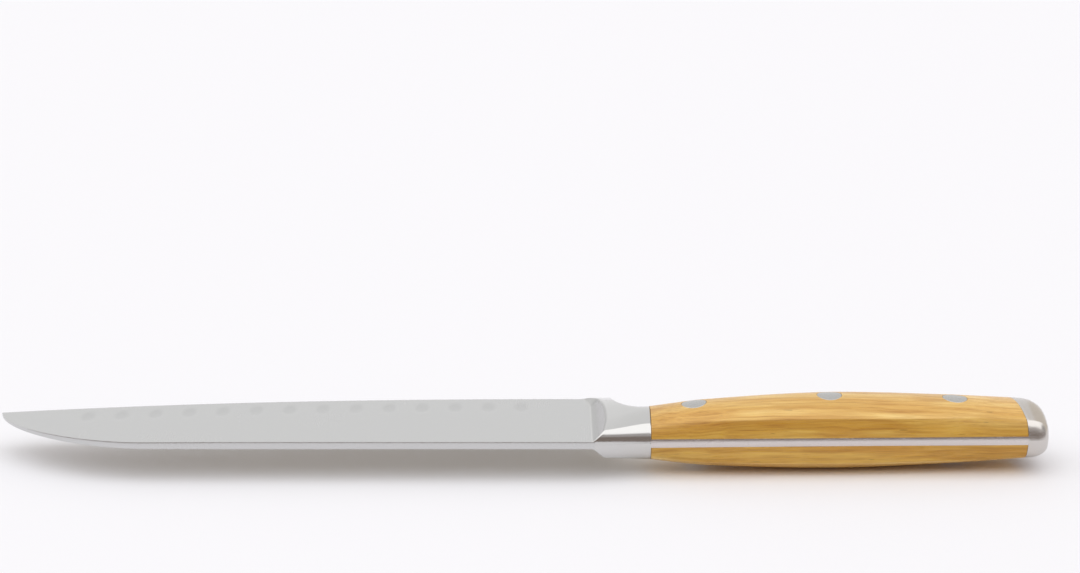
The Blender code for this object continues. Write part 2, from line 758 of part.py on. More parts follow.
def main():
    """Build every piece of the knife."""
    clear_scene()
    blade_steel = make_material("blade_steel", (0.58, 0.58, 0.57), 0.32, 1.0)
    bolster_steel = make_material("bolster_steel", (0.60, 0.58, 0.56), 0.16, 1.0)
    rivet_steel = make_material("rivet_steel", (0.50, 0.46, 0.45), 0.30, 1.0)
    bamboo = make_material("bamboo", (0.62, 0.36, 0.12), 0.45, 0.0)

    make_blade(blade_steel)
    make_bolster_cheek("front_bolster_upper", 1, bolster_steel)
    make_bolster_cheek("front_bolster_lower", -1, bolster_steel)
    make_end_cap(bolster_steel)
    make_scale("handle_scale_upper", 1, bamboo)
    make_scale("handle_scale_lower", -1, bamboo)
    form = make_grip_form()
    for rivet in RIVET_PLACES:
        make_rivet_half(rivet + "_rivet_male", rivet, male_profile(rivet), 1, form, rivet_steel)
        make_rivet_half(rivet + "_rivet_female", rivet, female_profile(rivet), -1, form, rivet_steel)


main()
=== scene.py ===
"""Looks of the santoku knife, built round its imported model.

The knife lies level on its side with its tip at -X, its spine at -Y and its cutting edge at
+Y. Every piece is worked out in knife coordinates, in metres: x is the distance behind the
bolster's front face, y the depth below the spine line, z the height over the blade's middle
plane. knife_origin says where they start in the frame.
"""
import logging
import math
from dataclasses import dataclass, replace
from enum import Enum
from typing import Callable, Iterable, Sequence

import bmesh
import bpy
from mathutils import Matrix, Vector


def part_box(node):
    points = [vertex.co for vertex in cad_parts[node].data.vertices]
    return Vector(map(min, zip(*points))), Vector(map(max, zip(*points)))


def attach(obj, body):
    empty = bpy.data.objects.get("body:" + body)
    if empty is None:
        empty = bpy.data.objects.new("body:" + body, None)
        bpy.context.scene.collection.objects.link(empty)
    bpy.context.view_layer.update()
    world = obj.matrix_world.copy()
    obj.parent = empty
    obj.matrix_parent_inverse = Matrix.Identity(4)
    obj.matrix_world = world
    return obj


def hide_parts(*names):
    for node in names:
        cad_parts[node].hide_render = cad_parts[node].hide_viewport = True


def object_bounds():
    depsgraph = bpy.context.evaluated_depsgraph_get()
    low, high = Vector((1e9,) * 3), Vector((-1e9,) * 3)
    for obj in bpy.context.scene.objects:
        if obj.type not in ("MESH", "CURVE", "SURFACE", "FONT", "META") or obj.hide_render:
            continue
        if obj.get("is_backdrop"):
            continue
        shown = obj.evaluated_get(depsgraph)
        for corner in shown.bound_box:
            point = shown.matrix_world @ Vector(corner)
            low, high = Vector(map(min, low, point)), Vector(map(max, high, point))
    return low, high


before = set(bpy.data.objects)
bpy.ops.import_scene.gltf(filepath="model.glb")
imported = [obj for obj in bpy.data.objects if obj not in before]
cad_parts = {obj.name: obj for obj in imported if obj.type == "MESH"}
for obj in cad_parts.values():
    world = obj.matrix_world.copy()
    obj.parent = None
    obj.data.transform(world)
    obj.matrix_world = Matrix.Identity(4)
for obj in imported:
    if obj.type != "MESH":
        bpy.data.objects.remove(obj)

CAD_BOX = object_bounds()
LOG = logging.getLogger("santoku_knife")
BODY = "root"
HOLLOW_MARK = "hollow_share"
# Vertices closer than this become one, in metres.
WELD = 2e-6
# Edges that bend by less than this look smooth, unless a piece has its own angle.
SHARP_ANGLE = math.radians(30)
# Most values of a noise lie in here.
NOISE_SPAN = (0.3, 0.7)
WHITE = (1.0, 1.0, 1.0)

Span = tuple[float, float]
Triple = tuple[float, float, float]
Rgb = Triple
Curve = tuple[tuple[float, float], ...]
Stops = Sequence[tuple[float, Rgb]]
Surface = Callable[[float, float], Vector]
Mesh = bmesh.types.BMesh
Socket = bpy.types.NodeSocket


class Side(Enum):
    """The two sides of the blade's middle plane, by the sign of their heights."""

    UPPER = 1
    LOWER = -1


def ease(t: float) -> float:
    """Go smoothly from 0 to 1 as t does."""
    t = min(max(t, 0.0), 1.0)
    return t * t * (3.0 - 2.0 * t)


def between(low: float, high: float, share: float) -> float:
    """Return the value at a share of the way from one value to another."""
    return low + (high - low) * share


def soft_minimum(a: float, b: float, blend: float) -> float:
    """Return the lower of two heights, rounded over where they differ by less than blend."""
    gap = max(blend - abs(a - b), 0.0) / blend
    return min(a, b) - gap * gap * blend / 4.0


def squared_ellipse(share: float, power: float) -> float:
    """Return the height of a squared ellipse of unit size at a share of its half width."""
    return max(1.0 - abs(share) ** power, 0.0) ** (1.0 / power)


def even_steps(low: float, high: float, count: int) -> list[float]:
    """Return count + 1 values from low to high, evenly spaced."""
    return [low + (high - low) * i / count for i in range(count + 1)]


@dataclass(frozen=True)
class BladeForm:
    """Outline and faces of the blade.

    Lengths are in metres. Hollows are the shallow ovals ground into both faces beside the edge.
    """

    length: float = 0.1800
    height: float = 0.0480
    spine_thickness: float = 0.0022
    behind_edge: float = 0.0005
    tip_thickness: float = 0.0004
    tip_taper: float = 0.0700
    edge_thickness: float = 0.0001
    bevel_height: float = 0.0013
    edge_rise: float = 0.0145
    edge_rise_power: float = 2.4
    spine_drop: float = 0.0460
    spine_drop_power: float = 1.7
    spine_roll: float = 0.00009
    spine_roll_power: float = 2.6
    hollow_count: int = 14
    hollow_pitch: float = 0.0101
    hollow_to_bolster: float = 0.0218
    hollow_above_edge: float = 0.0103
    hollow_width: float = 0.0058
    hollow_height: float = 0.0135
    hollow_depth: float = 0.00018
    hollow_rim_power: float = 1.5

    def edge(self, x: float) -> float:
        """Return the depth of the cutting edge, which climbs towards the tip."""
        return self.height - self.edge_rise * max(-x / self.length, 0.0) ** self.edge_rise_power

    def spine(self, x: float) -> float:
        """Find the depth of the spine: straight, then a sheep's-foot drop to the tip.

        Args:
            x: Place along the blade.

        Returns:
            The depth there.
        """
        run = (-x - (self.length - self.spine_drop)) / self.spine_drop
        if run <= 0.0:
            return 0.0
        left = max(1.0 - min(run, 1.0) ** self.spine_drop_power, 0.0)
        return (self.height - self.edge_rise) * (1.0 - left ** (1.0 / self.spine_drop_power))

    def flat_height(self, x: float, y: float) -> float:
        """Find the height of the face without its hollows.

        Args:
            x: Place along the blade.
            y: Depth below the spine line.

        Returns:
            The height, which falls towards the edge and the tip.
        """
        share = (self.height - y) / self.height
        flat = between(self.behind_edge, self.spine_thickness, share) / 2
        start = self.tip_taper - self.length
        if x >= start:
            return flat
        at_tip = between(self.behind_edge, self.spine_thickness, self.edge_rise / self.height) / 2
        return flat - (at_tip - self.tip_thickness / 2) / self.tip_taper * (start - x)

    def hollow(self, x: float, y: float) -> float:
        """Find how deep the hollows cut into the face.

        Args:
            x: Place along the blade.
            y: Depth below the spine line.

        Returns:
            The depth of the cut, 0 outside every hollow.
        """
        nearest = round((-x - self.hollow_to_bolster) / self.hollow_pitch)
        nearest = min(max(nearest, 0), self.hollow_count - 1)
        centre_x = -self.hollow_to_bolster - self.hollow_pitch * nearest
        centre_y = self.edge(centre_x) - self.hollow_above_edge
        along = (x - centre_x) / (self.hollow_width / 2)
        across = (y - centre_y) / (self.hollow_height / 2)
        reach = along * along + across * across
        return self.hollow_depth * max(1.0 - reach, 0.0) ** self.hollow_rim_power


@dataclass(frozen=True)
class Section:
    """One cut across the grip: a low crown that meets two steep sides along a ridge.

    lean and bend tip the sides inwards, and blend rounds the ridge; all three are shares of the
    section's own half width and half thickness. The bend starts at the height flat, a share of
    the half thickness.
    """

    spine: Vector
    belly: Vector
    half: float
    lean: float
    bend: float
    blend: float
    crown_drop: float
    crown_power: float
    flat: float = 0.0

    def unit_height(self, spot: float) -> float:
        """Find the height of the outside.

        Args:
            spot: -1 at the spine, 1 at the belly.

        Returns:
            The height in half thicknesses.
        """
        spot = min(abs(spot), 1.0)
        crown = 1.0 - self.crown_drop * spot ** self.crown_power
        bent = max(1.0 - spot - self.lean * self.flat, 0.0)
        root = math.sqrt(self.lean ** 2 + 4.0 * self.bend * bent)
        side = self.flat + (root - self.lean) / (2.0 * self.bend)
        side = min(side, (1.0 - spot) / self.lean)
        return soft_minimum(crown, side, self.blend)

    def reach(self, height: float) -> float:
        """Return the spot where the side stands at a height over the middle plane."""
        share = height / self.half
        return 1.0 - self.lean * share - self.bend * share ** 2

    def point(self, spot: float) -> Vector:
        """Return the point of the outside at a spot from -1 at the spine to 1 at the belly."""
        height = self.half * self.unit_height(spot)
        return self.spine.lerp(self.belly, (1.0 + spot) / 2) + Vector((0.0, 0.0, height))


@dataclass(frozen=True)
class GripForm:
    """Form of the whole grip, from the neck behind the bolster to the butt.

    Each curve is a list of (place, value) pairs that a smooth line goes through.
    """

    neck: float = 0.0167
    length: float = 0.1349
    cap_at_spine: float = 0.0063
    cap_depth: float = 0.0278
    cap_slant: float = math.radians(9)
    spine_insets: Span = (0.0018, 0.0046)
    crown_drop: float = 0.47
    crown_power: float = 2.0
    side_lean: float = 0.085
    side_bend: float = 0.21
    ridge_zone: Span = (0.72, 0.94)
    crown_rows: int = 14
    ridge_rows: int = 22
    side_rows: int = 12
    search_steps: int = 30
    depths: Curve = (
        (0.0167, 0.0228), (0.0330, 0.0231), (0.0700, 0.0257), (0.1040, 0.0266), (0.1286, 0.0278))
    thicknesses: Curve = (
        (0.0167, 0.0148), (0.0330, 0.0191), (0.0700, 0.0222), (0.1040, 0.0199), (0.1286, 0.0165))
    side_slopes: Curve = (
        (0.0167, 1.10), (0.0300, 1.06), (0.0430, 0.91), (0.0620, 0.79), (0.0840, 0.79),
        (0.1080, 1.06), (0.1180, 1.08), (0.1286, 0.84))
    least_blend: float = 0.02
    ridge_blends: Curve = (
        (0.0167, 0.12), (0.0300, 0.08), (0.0420, 0.02), (0.0950, 0.02), (0.1150, 0.09),
        (0.1286, 0.14))

    @property
    def cap_joint(self) -> float:
        """Place of the end cap's joint on the spine side."""
        return self.length - self.cap_at_spine

    @staticmethod
    def read_curve(points: Curve, x: float) -> float:
        """Read a smooth curve through the points.

        Args:
            points: (place, value) pairs in order.
            x: Place to read.

        Returns:
            The curve's value there.
        """
        slopes = []
        for i in range(len(points)):
            before = points[max(i - 1, 0)]
            after = points[min(i + 1, len(points) - 1)]
            slopes.append((after[1] - before[1]) / (after[0] - before[0]))
        i = 0
        while i < len(points) - 2 and x > points[i + 1][0]:
            i += 1
        (x0, v0), (x1, v1) = points[i], points[i + 1]
        span = x1 - x0
        t = (x - x0) / span
        rise = t * t * (3.0 - 2.0 * t)
        lead_in = t * (1.0 - t) ** 2 * span * slopes[i]
        lead_out = t * t * (1.0 - t) * span * slopes[i + 1]
        return v0 + (v1 - v0) * rise + lead_in - lead_out

    def spine(self, x: float) -> float:
        """Return the depth of the grip's spine side."""
        return between(*self.spine_insets, (x - self.neck) / (self.cap_joint - self.neck))

    def depth(self, x: float) -> float:
        """Return the distance from the grip's spine side to its belly."""
        return self.read_curve(self.depths, x)

    def half(self, x: float) -> float:
        """Return half of the grip's thickness."""
        return self.read_curve(self.thicknesses, x) / 2

    def section(self, share: float) -> Section:
        """Cut the grip across. The cuts turn towards the end cap's slant.

        Args:
            share: 0 at the neck, 1 at the end cap's joint.

        Returns:
            The section there.
        """
        run = self.cap_joint - self.neck
        slant = self.cap_depth * math.tan(self.cap_slant)
        spine_x = self.neck + run * share
        belly_x = self.neck + (run - slant) * share
        middle_x = (spine_x + belly_x) / 2
        slope = self.read_curve(self.side_slopes, middle_x)
        return Section(
            spine=Vector((spine_x, self.spine(spine_x), 0.0)),
            belly=Vector((belly_x, self.spine(middle_x) + self.depth(middle_x), 0.0)),
            half=self.half(middle_x), lean=self.side_lean * slope, bend=self.side_bend * slope,
            blend=max(self.read_curve(self.ridge_blends, middle_x), self.least_blend),
            crown_drop=self.crown_drop, crown_power=self.crown_power)

    def height_at(self, x: float, y: float) -> float:
        """Find the height of the outside by halving the run that holds the right section.

        Args:
            x: Place behind the bolster's front face.
            y: Depth below the spine line.

        Returns:
            The height over the middle plane.
        """
        low, high = 0.0, 1.0
        for _ in range(self.search_steps):
            share = (low + high) / 2
            cut = self.section(share)
            across = (y - cut.spine.y) / (cut.belly.y - cut.spine.y)
            if cut.spine.x + (cut.belly.x - cut.spine.x) * across < x:
                low = share
            else:
                high = share
        return cut.half * cut.unit_height(2.0 * across - 1.0)

    def section_spots(self) -> list[float]:
        """List spots across the grip, close together along both ridges and down the sides.

        Returns:
            Spots from -1 at the spine to 1 at the belly.
        """
        near, far = self.ridge_zone
        half = even_steps(0.0, near, self.crown_rows)
        half += even_steps(near, far, self.ridge_rows)[1:]
        turns = even_steps(0.0, math.pi / 2, self.side_rows)[1:]
        half += [far + (1.0 - far) * math.sin(turn) for turn in turns]
        return [-spot for spot in reversed(half[1:])] + half


def knife_origin(form: BladeForm) -> Vector:
    """Find where knife coordinates start in the frame.

    Args:
        form: Form of the blade, whose tip is the model's lowest x.

    Returns:
        The spot on the bolster's front face, at the spine line and the middle plane.
    """
    low, _ = CAD_BOX
    blade_low, blade_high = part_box("blade")
    return Vector((low.x + form.length, low.y, (blade_low.z + blade_high.z) / 2))


def index_of(share: float, count: int) -> int:
    """Return the grid line that a share of the grid's size stands for."""
    return round((share + 0.5) * count)


def open_shell(us: Sequence[float], vs: Sequence[float], surface: Surface, floor: float) -> Mesh:
    """Move a grid onto a surface and drop its rim straight down to a level.

    Args:
        us: Values of the surface's first parameter at the grid's lines.
        vs: Values of its second parameter.
        surface: Function from both parameters to a point.
        floor: Height that the rim goes down to.

    Returns:
        The mesh, open underneath.
    """
    bm = bmesh.new()
    made = bmesh.ops.create_grid(bm, x_segments=len(us) - 1, y_segments=len(vs) - 1, size=0.5)
    for vert in made["verts"]:
        i = index_of(vert.co.x, len(us) - 1)
        j = index_of(vert.co.y, len(vs) - 1)
        vert.co = surface(us[i], vs[j])
    rim = [edge for edge in bm.edges if edge.is_boundary]
    for item in bmesh.ops.extrude_edge_only(bm, edges=rim)["geom"]:
        if isinstance(item, bmesh.types.BMVert):
            item.co.z = floor
    bmesh.ops.remove_doubles(bm, verts=bm.verts, dist=WELD)
    return bm


def closed_half(us: Sequence[float], vs: Sequence[float], surface: Surface, floor: float) -> Mesh:
    """Build a solid under a surface, flat underneath.

    Args:
        us: Values of the surface's first parameter.
        vs: Values of its second parameter.
        surface: Function from both parameters to a point of the outside.
        floor: Height of the flat side.

    Returns:
        The solid's mesh.
    """
    bm = open_shell(us, vs, surface, floor)
    bmesh.ops.edgeloop_fill(bm, edges=[edge for edge in bm.edges if edge.is_boundary])
    bmesh.ops.recalc_face_normals(bm, faces=bm.faces)
    return bm


def mirrored_whole(us: Sequence[float], vs: Sequence[float], surface: Surface) -> Mesh:
    """Build a solid that is the same above and below the middle plane.

    Args:
        us: Values of the surface's first parameter.
        vs: Values of its second parameter.
        surface: Function from both parameters to a point of the upper side.

    Returns:
        The solid's mesh.
    """
    bm = open_shell(us, vs, surface, 0.0)
    everything = bm.verts[:] + bm.edges[:] + bm.faces[:]
    bmesh.ops.mirror(bm, geom=everything, merge_dist=WELD, axis="Z")
    bmesh.ops.remove_doubles(bm, verts=bm.verts, dist=WELD)
    bmesh.ops.recalc_face_normals(bm, faces=bm.faces)
    return bm


@dataclass
class Workshop:
    """Turns finished bmeshes into pieces of the knife that ride on its body."""

    origin: Vector

    def place(self, name: str, bm: Mesh, side: Side) -> bpy.types.Object:
        """Make an object of a mesh, moved into the frame.

        Args:
            name: Name of the object.
            bm: Its mesh in knife coordinates for the upper side, which is freed.
            side: LOWER turns the mesh over to the blade's other side.

        Returns:
            The new object.
        """
        bmesh.ops.scale(bm, vec=(1.0, 1.0, side.value), verts=bm.verts)
        bmesh.ops.recalc_face_normals(bm, faces=bm.faces)
        bmesh.ops.translate(bm, vec=self.origin, verts=bm.verts)
        mesh = bpy.data.meshes.new(name)
        bm.to_mesh(mesh)
        bm.free()
        item = bpy.data.objects.new(name, mesh)
        bpy.context.scene.collection.objects.link(item)
        return item

    def piece(self, name: str, bm: Mesh, material: bpy.types.Material,
              replaces: Iterable[str], side: Side = Side.UPPER,
              sharp: float = SHARP_ANGLE) -> bpy.types.Object:
        """Hand a mesh over as a piece.

        Args:
            name: Name of the piece.
            bm: Its mesh in knife coordinates, which is freed.
            material: Its finish.
            replaces: CAD nodes that it stands for.
            side: Side of the blade that it lies on.
            sharp: Angle from which an edge stays sharp.

        Returns:
            The new object.
        """
        item = self.place(name, bm, side)
        item.data.materials.append(material)
        item.data.shade_smooth()
        item.data.set_sharp_from_angle(angle=sharp)
        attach(item, BODY)
        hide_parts(*replaces)
        LOG.info("%s: %d vertices", name, len(item.data.vertices))
        return item

    def cut(self, item: bpy.types.Object, tool: Mesh, side: Side) -> None:
        """Cut a piece with a closed tool mesh and keep the result as its mesh.

        Args:
            item: Piece to cut.
            tool: Cutter in knife coordinates, which is freed.
            side: Side of the blade that it cuts.
        """
        cutter = self.place("cutter", tool, side)
        modifier = item.modifiers.new("cut", "BOOLEAN")
        modifier.operation = "DIFFERENCE"
        modifier.solver = "EXACT"
        modifier.object = cutter
        graph = bpy.context.evaluated_depsgraph_get()
        result = bpy.data.meshes.new_from_object(item.evaluated_get(graph))
        item.modifiers.remove(modifier)
        bpy.data.objects.remove(cutter, do_unlink=True)
        result.shade_smooth()
        result.set_sharp_from_angle(angle=SHARP_ANGLE)
        item.data = result


class Recipe:
    """Short ways to lay and join shader nodes."""

    def __init__(self, tree: bpy.types.NodeTree) -> None:
        """Keep the node tree that the nodes go into."""
        self.tree = tree

    def feed(self, socket: Socket, value: object) -> None:
        """Link an output to an input, or set the input's own value.

        Args:
            socket: The input.
            value: An output, or a plain value.
        """
        if isinstance(value, Socket):
            self.tree.links.new(value, socket)
        else:
            socket.default_value = value

    def node(self, kind: str, inputs: dict[int | str, object], output: int | str = 0,
             **settings: object) -> Socket:
        """Add a node and feed it.

        Args:
            kind: The node's type.
            inputs: Names or numbers of inputs, each with an output or a plain value.
            output: Name or number of the wanted output.
            settings: Properties of the node.

        Returns:
            The wanted output.
        """
        made = self.tree.nodes.new(kind)
        for key, value in settings.items():
            setattr(made, key, value)
        for key, value in inputs.items():
            self.feed(made.inputs[key], value)
        return made.outputs[output]

    def math(self, operation: str, *values: object) -> Socket:
        """Return the result of a Math node."""
        return self.node("ShaderNodeMath", dict(enumerate(values)), operation=operation)

    def place(self) -> Socket:
        """Return Object coordinates."""
        return self.node("ShaderNodeTexCoord", {}, "Object")

    def part(self, vector: Socket, axis: str) -> Socket:
        """Return a vector's part along an axis."""
        return self.node("ShaderNodeSeparateXYZ", {"Vector": vector}, axis)

    def facing(self, axis: str) -> Socket:
        """Return how far the surface faces along an axis, from -1 to 1."""
        return self.part(self.node("ShaderNodeNewGeometry", {}, "Normal"), axis)

    def noise(self, vector: Socket, scale: Triple, detail: float,
              roughness: float = 0.5) -> Socket:
        """Return a noise value read at a vector stretched by a scale for each axis."""
        place = self.node("ShaderNodeMapping", {"Vector": vector, "Scale": scale}, "Vector")
        return self.node("ShaderNodeTexNoise", {
            "Vector": place, "Scale": 1.0, "Detail": detail, "Roughness": roughness}, "Fac")

    def spread(self, value: Socket, source: Span, target: Span = (0.0, 1.0)) -> Socket:
        """Return a value moved from one range to another, held at its ends."""
        ranges = dict(enumerate((value, *source, *target)))
        return self.node("ShaderNodeMapRange", ranges, "Result", interpolation_type="SMOOTHSTEP")

    def mix(self, share: object, first: object, second: object, blend: str = "MIX") -> Socket:
        """Return two colours mixed."""
        inputs = {"Factor": share, "A": first, "B": second}
        return self.node("ShaderNodeMix", inputs, "Result", data_type="RGBA", blend_type=blend)

    def ramp(self, value: Socket, stops: Stops) -> Socket:
        """Read a colour ramp.

        Args:
            value: Where to read it.
            stops: Its places and their colours, in order.

        Returns:
            The colour there.
        """
        made = self.tree.nodes.new("ShaderNodeValToRGB")
        elements = made.color_ramp.elements
        while len(elements) < len(stops):
            elements.new(1.0)
        for element, (place, colour) in zip(elements, stops):
            element.position = place
            element.color = (*colour, 1.0)
        self.feed(made.inputs["Fac"], value)
        return made.outputs["Color"]

    def tint(self, colour: Socket, value: Socket, stops: Stops) -> Socket:
        """Return a colour multiplied by a ramp's colour at a value."""
        return self.mix(1.0, colour, self.ramp(value, stops), "MULTIPLY")

    def shade(self, colour: Socket, share: object) -> Socket:
        """Return a colour made darker or lighter by a plain share."""
        return self.node("ShaderNodeVectorMath", {0: colour, "Scale": share}, operation="SCALE")

    def bump(self, height: Socket, distance: float) -> Socket:
        """Return normals bumped by a height of up to a distance in metres."""
        inputs = {"Strength": 1.0, "Distance": distance, "Height": height}
        return self.node("ShaderNodeBump", inputs, "Normal")


def principled(name: str) -> tuple[bpy.types.Material, Recipe, bpy.types.Node]:
    """Make a material.

    Args:
        name: Its name.

    Returns:
        The material, its recipe and its Principled shader.
    """
    material = bpy.data.materials.new(name)
    material.use_nodes = True
    tree = material.node_tree
    return material, Recipe(tree), tree.nodes["Principled BSDF"]


@dataclass(frozen=True)
class GroundSteel:
    """Stainless steel with fine marks from a belt or a wheel.

    marks is how often the marks repeat along each axis, per metre. Two marks are painted shade:
    the blade's hollows are painted darker, standing in for the shading of their curves, and faces
    that lean towards the tip are painted darker, unless they also face sideways.
    """

    name: str
    colour: Rgb
    roughness: Span
    marks: Triple
    mark_depth: float
    tone: float
    mark_detail: float = 3.0
    mark_roughness: float = 0.6
    cloud_tone: float = 0.02
    cloud_scale: Triple = (45.0, 45.0, 45.0)
    cloud_span: Span = (0.35, 0.65)
    cloud_detail: float = 2.0
    cloud_roughness: float = 0.04
    # Painted shade in the hollows and on faces that lean towards the tip.
    hollow_painted_shade: float = 0.0
    hollow_run: Span = (0.0, 0.75)
    ramp_painted_shade: float = 0.0
    ramp_run: Span = (-0.70, -0.20)
    sideways_share: float = 1.6

    def build(self) -> bpy.types.Material:
        """Lay the nodes.

        Returns:
            The material.
        """
        material, recipe, shader = principled(self.name)
        marks = recipe.noise(recipe.place(), self.marks, self.mark_detail, self.mark_roughness)
        clouds = recipe.noise(recipe.place(), self.cloud_scale, self.cloud_detail)
        rough = recipe.spread(marks, NOISE_SPAN, self.roughness)
        rough = recipe.math("MULTIPLY_ADD", clouds, self.cloud_roughness, rough)
        recipe.feed(shader.inputs["Roughness"], rough)
        dark = tuple(channel * (1.0 - self.tone) for channel in self.colour)
        light = tuple(channel * (1.0 + self.tone) for channel in self.colour)
        colour = recipe.ramp(marks, list(zip(NOISE_SPAN, (dark, light))))
        clouded = recipe.spread(clouds, self.cloud_span, (1.0 - self.cloud_tone, 1.0))
        colour = recipe.shade(colour, clouded)
        # Painted shade: darker in the blade's hollows.
        if self.hollow_painted_shade > 0.0:
            mark = recipe.node("ShaderNodeAttribute", {}, "Fac", attribute_name=HOLLOW_MARK)
            hollow = recipe.spread(mark, self.hollow_run, (1.0, 1.0 - self.hollow_painted_shade))
            colour = recipe.shade(colour, hollow)
        # Painted shade: darker on faces that lean towards the tip, such as the bolster's ramp,
        # unless they also face sideways.
        if self.ramp_painted_shade > 0.0:
            sideways = recipe.math("ABSOLUTE", recipe.facing("Y"))
            level = recipe.math("MULTIPLY_ADD", sideways, self.sideways_share, recipe.facing("X"))
            ramp = recipe.spread(level, self.ramp_run, (1.0 - self.ramp_painted_shade, 1.0))
            colour = recipe.shade(colour, ramp)
        recipe.feed(shader.inputs["Base Color"], colour)
        recipe.feed(shader.inputs["Normal"], recipe.bump(marks, self.mark_depth))
        shader.inputs["Metallic"].default_value = 1.0
        return material


@dataclass(frozen=True)
class Bamboo:
    """Oiled bamboo: pale and tawny streaks with fine dark fibres along the grip.

    The colour carries painted shade and a painted highlight, set by how far a face looks up:
    painted shade darkens the steep sides below the ridge, and the flattest part of the crown is
    painted a little darker, which leaves a painted highlight beside the ridge. Near the bolster
    the streaks wander. Towards the end cap the ridge grows rounder, and the painted shade of the
    sides reaches farther up it. All places are the frame's own. The slopes say how far a face
    looks up, and the scales how often a pattern repeats along each axis, per metre.
    """

    name: str
    wander_run: Span
    rear_run: Span
    # Painted light: a plain factor that makes a whole scale lighter.
    painted_lift: float = 1.0
    shift: Triple = (0.0, 0.0, 0.0)
    tawny: Rgb = (0.630, 0.350, 0.080)
    straw: Rgb = (0.725, 0.445, 0.122)
    pale: Rgb = (0.815, 0.553, 0.190)
    band_places: Triple = (0.34, 0.50, 0.64)
    amber: Rgb = (0.690, 0.385, 0.092)
    amber_run: Span = (0.46, 0.64)
    amber_share: float = 0.7
    streak_tints: Stops = ((0.30, (0.80, 0.72, 0.62)), (0.50, WHITE), (0.68, (1.09, 1.15, 1.25)))
    fibre_tints: Stops = ((0.30, (0.86, 0.81, 0.74)), (0.50, WHITE), (0.72, (1.04, 1.05, 1.06)))
    dash_run: Span = (0.72, 0.80)
    dash_shade: float = 0.62
    # Painted shade on the steep sides, and a painted darker flat top that leaves a highlight by
    # the ridge.
    side_shade_paint: Rgb = (0.775, 0.690, 0.400)
    side_shade_paint_slope: Span = (0.45, 0.78)
    rear_side_shade_shift: float = 0.21
    ridge_highlight_paint: Rgb = (0.925, 0.900, 0.850)
    ridge_highlight_paint_slope: Span = (0.86, 0.99)
    fibre: Triple = (90.0, 3000.0, 3000.0)
    streak: Triple = (42.0, 1250.0, 1250.0)
    band: Triple = (17.0, 420.0, 420.0)
    zone: Triple = (30.0, 110.0, 110.0)
    dash: Triple = (190.0, 1500.0, 1500.0)
    detail: float = 2.0
    dash_detail: float = 1.0
    fine_roughness: float = 0.6
    wave: Span = (0.0034, 0.0007)
    wave_scale: float = 75.0
    fibre_depth: float = 0.000014
    roughness: Span = (0.36, 0.26)

    def wavy_place(self, recipe: Recipe) -> Socket:
        """Bend the coordinates across the grain, most of all near the bolster.

        Args:
            recipe: Recipe of the material.

        Returns:
            The bent coordinates.
        """
        moved = {"Vector": recipe.place(), "Location": self.shift}
        place = recipe.node("ShaderNodeMapping", moved, "Vector")
        slow = recipe.node("ShaderNodeTexNoise", {
            "Vector": place, "Scale": self.wave_scale, "Detail": 1.0}, "Color")
        reach = recipe.spread(recipe.part(place, "X"), self.wander_run, self.wave)
        across = recipe.node("ShaderNodeCombineXYZ", {"Y": reach, "Z": reach}, "Vector")
        return recipe.node("ShaderNodeVectorMath", {0: slow, 1: across, 2: place},
                           operation="MULTIPLY_ADD")

    def grain(self, recipe: Recipe, place: Socket, fibres: Socket) -> Socket:
        """Paint bands, warm zones, streaks, fibres and dark dashes.

        Args:
            recipe: Recipe of the material.
            place: Coordinates of the grain.
            fibres: The fibres' noise.

        Returns:
            The wood's colour before the painted shade and highlight are laid on.
        """
        streaks = recipe.noise(place, self.streak, self.detail, self.fine_roughness)
        bands = recipe.noise(place, self.band, self.detail)
        zones = recipe.noise(place, self.zone, self.detail)
        dashes = recipe.noise(place, self.dash, self.dash_detail)
        body = recipe.ramp(bands, list(zip(self.band_places, (self.tawny, self.straw, self.pale))))
        warmth = recipe.spread(zones, self.amber_run, (0.0, self.amber_share))
        warm = recipe.mix(warmth, body, (*self.amber, 1.0))
        streaky = recipe.tint(warm, streaks, self.streak_tints)
        fibred = recipe.tint(streaky, fibres, self.fibre_tints)
        return recipe.shade(fibred, recipe.spread(dashes, self.dash_run, (1.0, self.dash_shade)))

    def face(self, recipe: Recipe) -> Socket:
        """Paint shade on the sides and a highlight by the ridge, by how far a face looks up.

        Args:
            recipe: Recipe of the material.

        Returns:
            The colour of the painted shade and highlight, which multiplies the grain.
        """
        # Painted shade: near the end cap it reaches farther up the sides.
        rear = recipe.spread(recipe.part(recipe.place(), "X"), self.rear_run,
                             (0.0, self.rear_side_shade_shift))
        level = recipe.math("SUBTRACT", recipe.math("ABSOLUTE", recipe.facing("Z")), rear)
        # Painted highlight: the flattest top is darker, so the crown beside the ridge looks lit.
        flat = recipe.spread(level, self.ridge_highlight_paint_slope)
        top = recipe.mix(flat, (*WHITE, 1.0), (*self.ridge_highlight_paint, 1.0))
        # Painted shade on the steep sides below the ridge.
        crown = recipe.spread(level, self.side_shade_paint_slope)
        return recipe.mix(crown, (*self.side_shade_paint, 1.0), top)

    def build(self) -> bpy.types.Material:
        """Lay the nodes.

        Returns:
            The material.
        """
        material, recipe, shader = principled(self.name)
        place = self.wavy_place(recipe)
        fibres = recipe.noise(place, self.fibre, self.detail, self.fine_roughness)
        grain = self.grain(recipe, place, fibres)
        # The grain is multiplied by painted shade and highlight.
        colour = recipe.mix(1.0, grain, self.face(recipe), "MULTIPLY")
        # A whole scale can be painted lighter, as painted light from the floor.
        recipe.feed(shader.inputs["Base Color"], recipe.shade(colour, self.painted_lift))
        rough = recipe.spread(fibres, NOISE_SPAN, self.roughness)
        recipe.feed(shader.inputs["Roughness"], rough)
        recipe.feed(shader.inputs["Normal"], recipe.bump(fibres, self.fibre_depth))
        return material


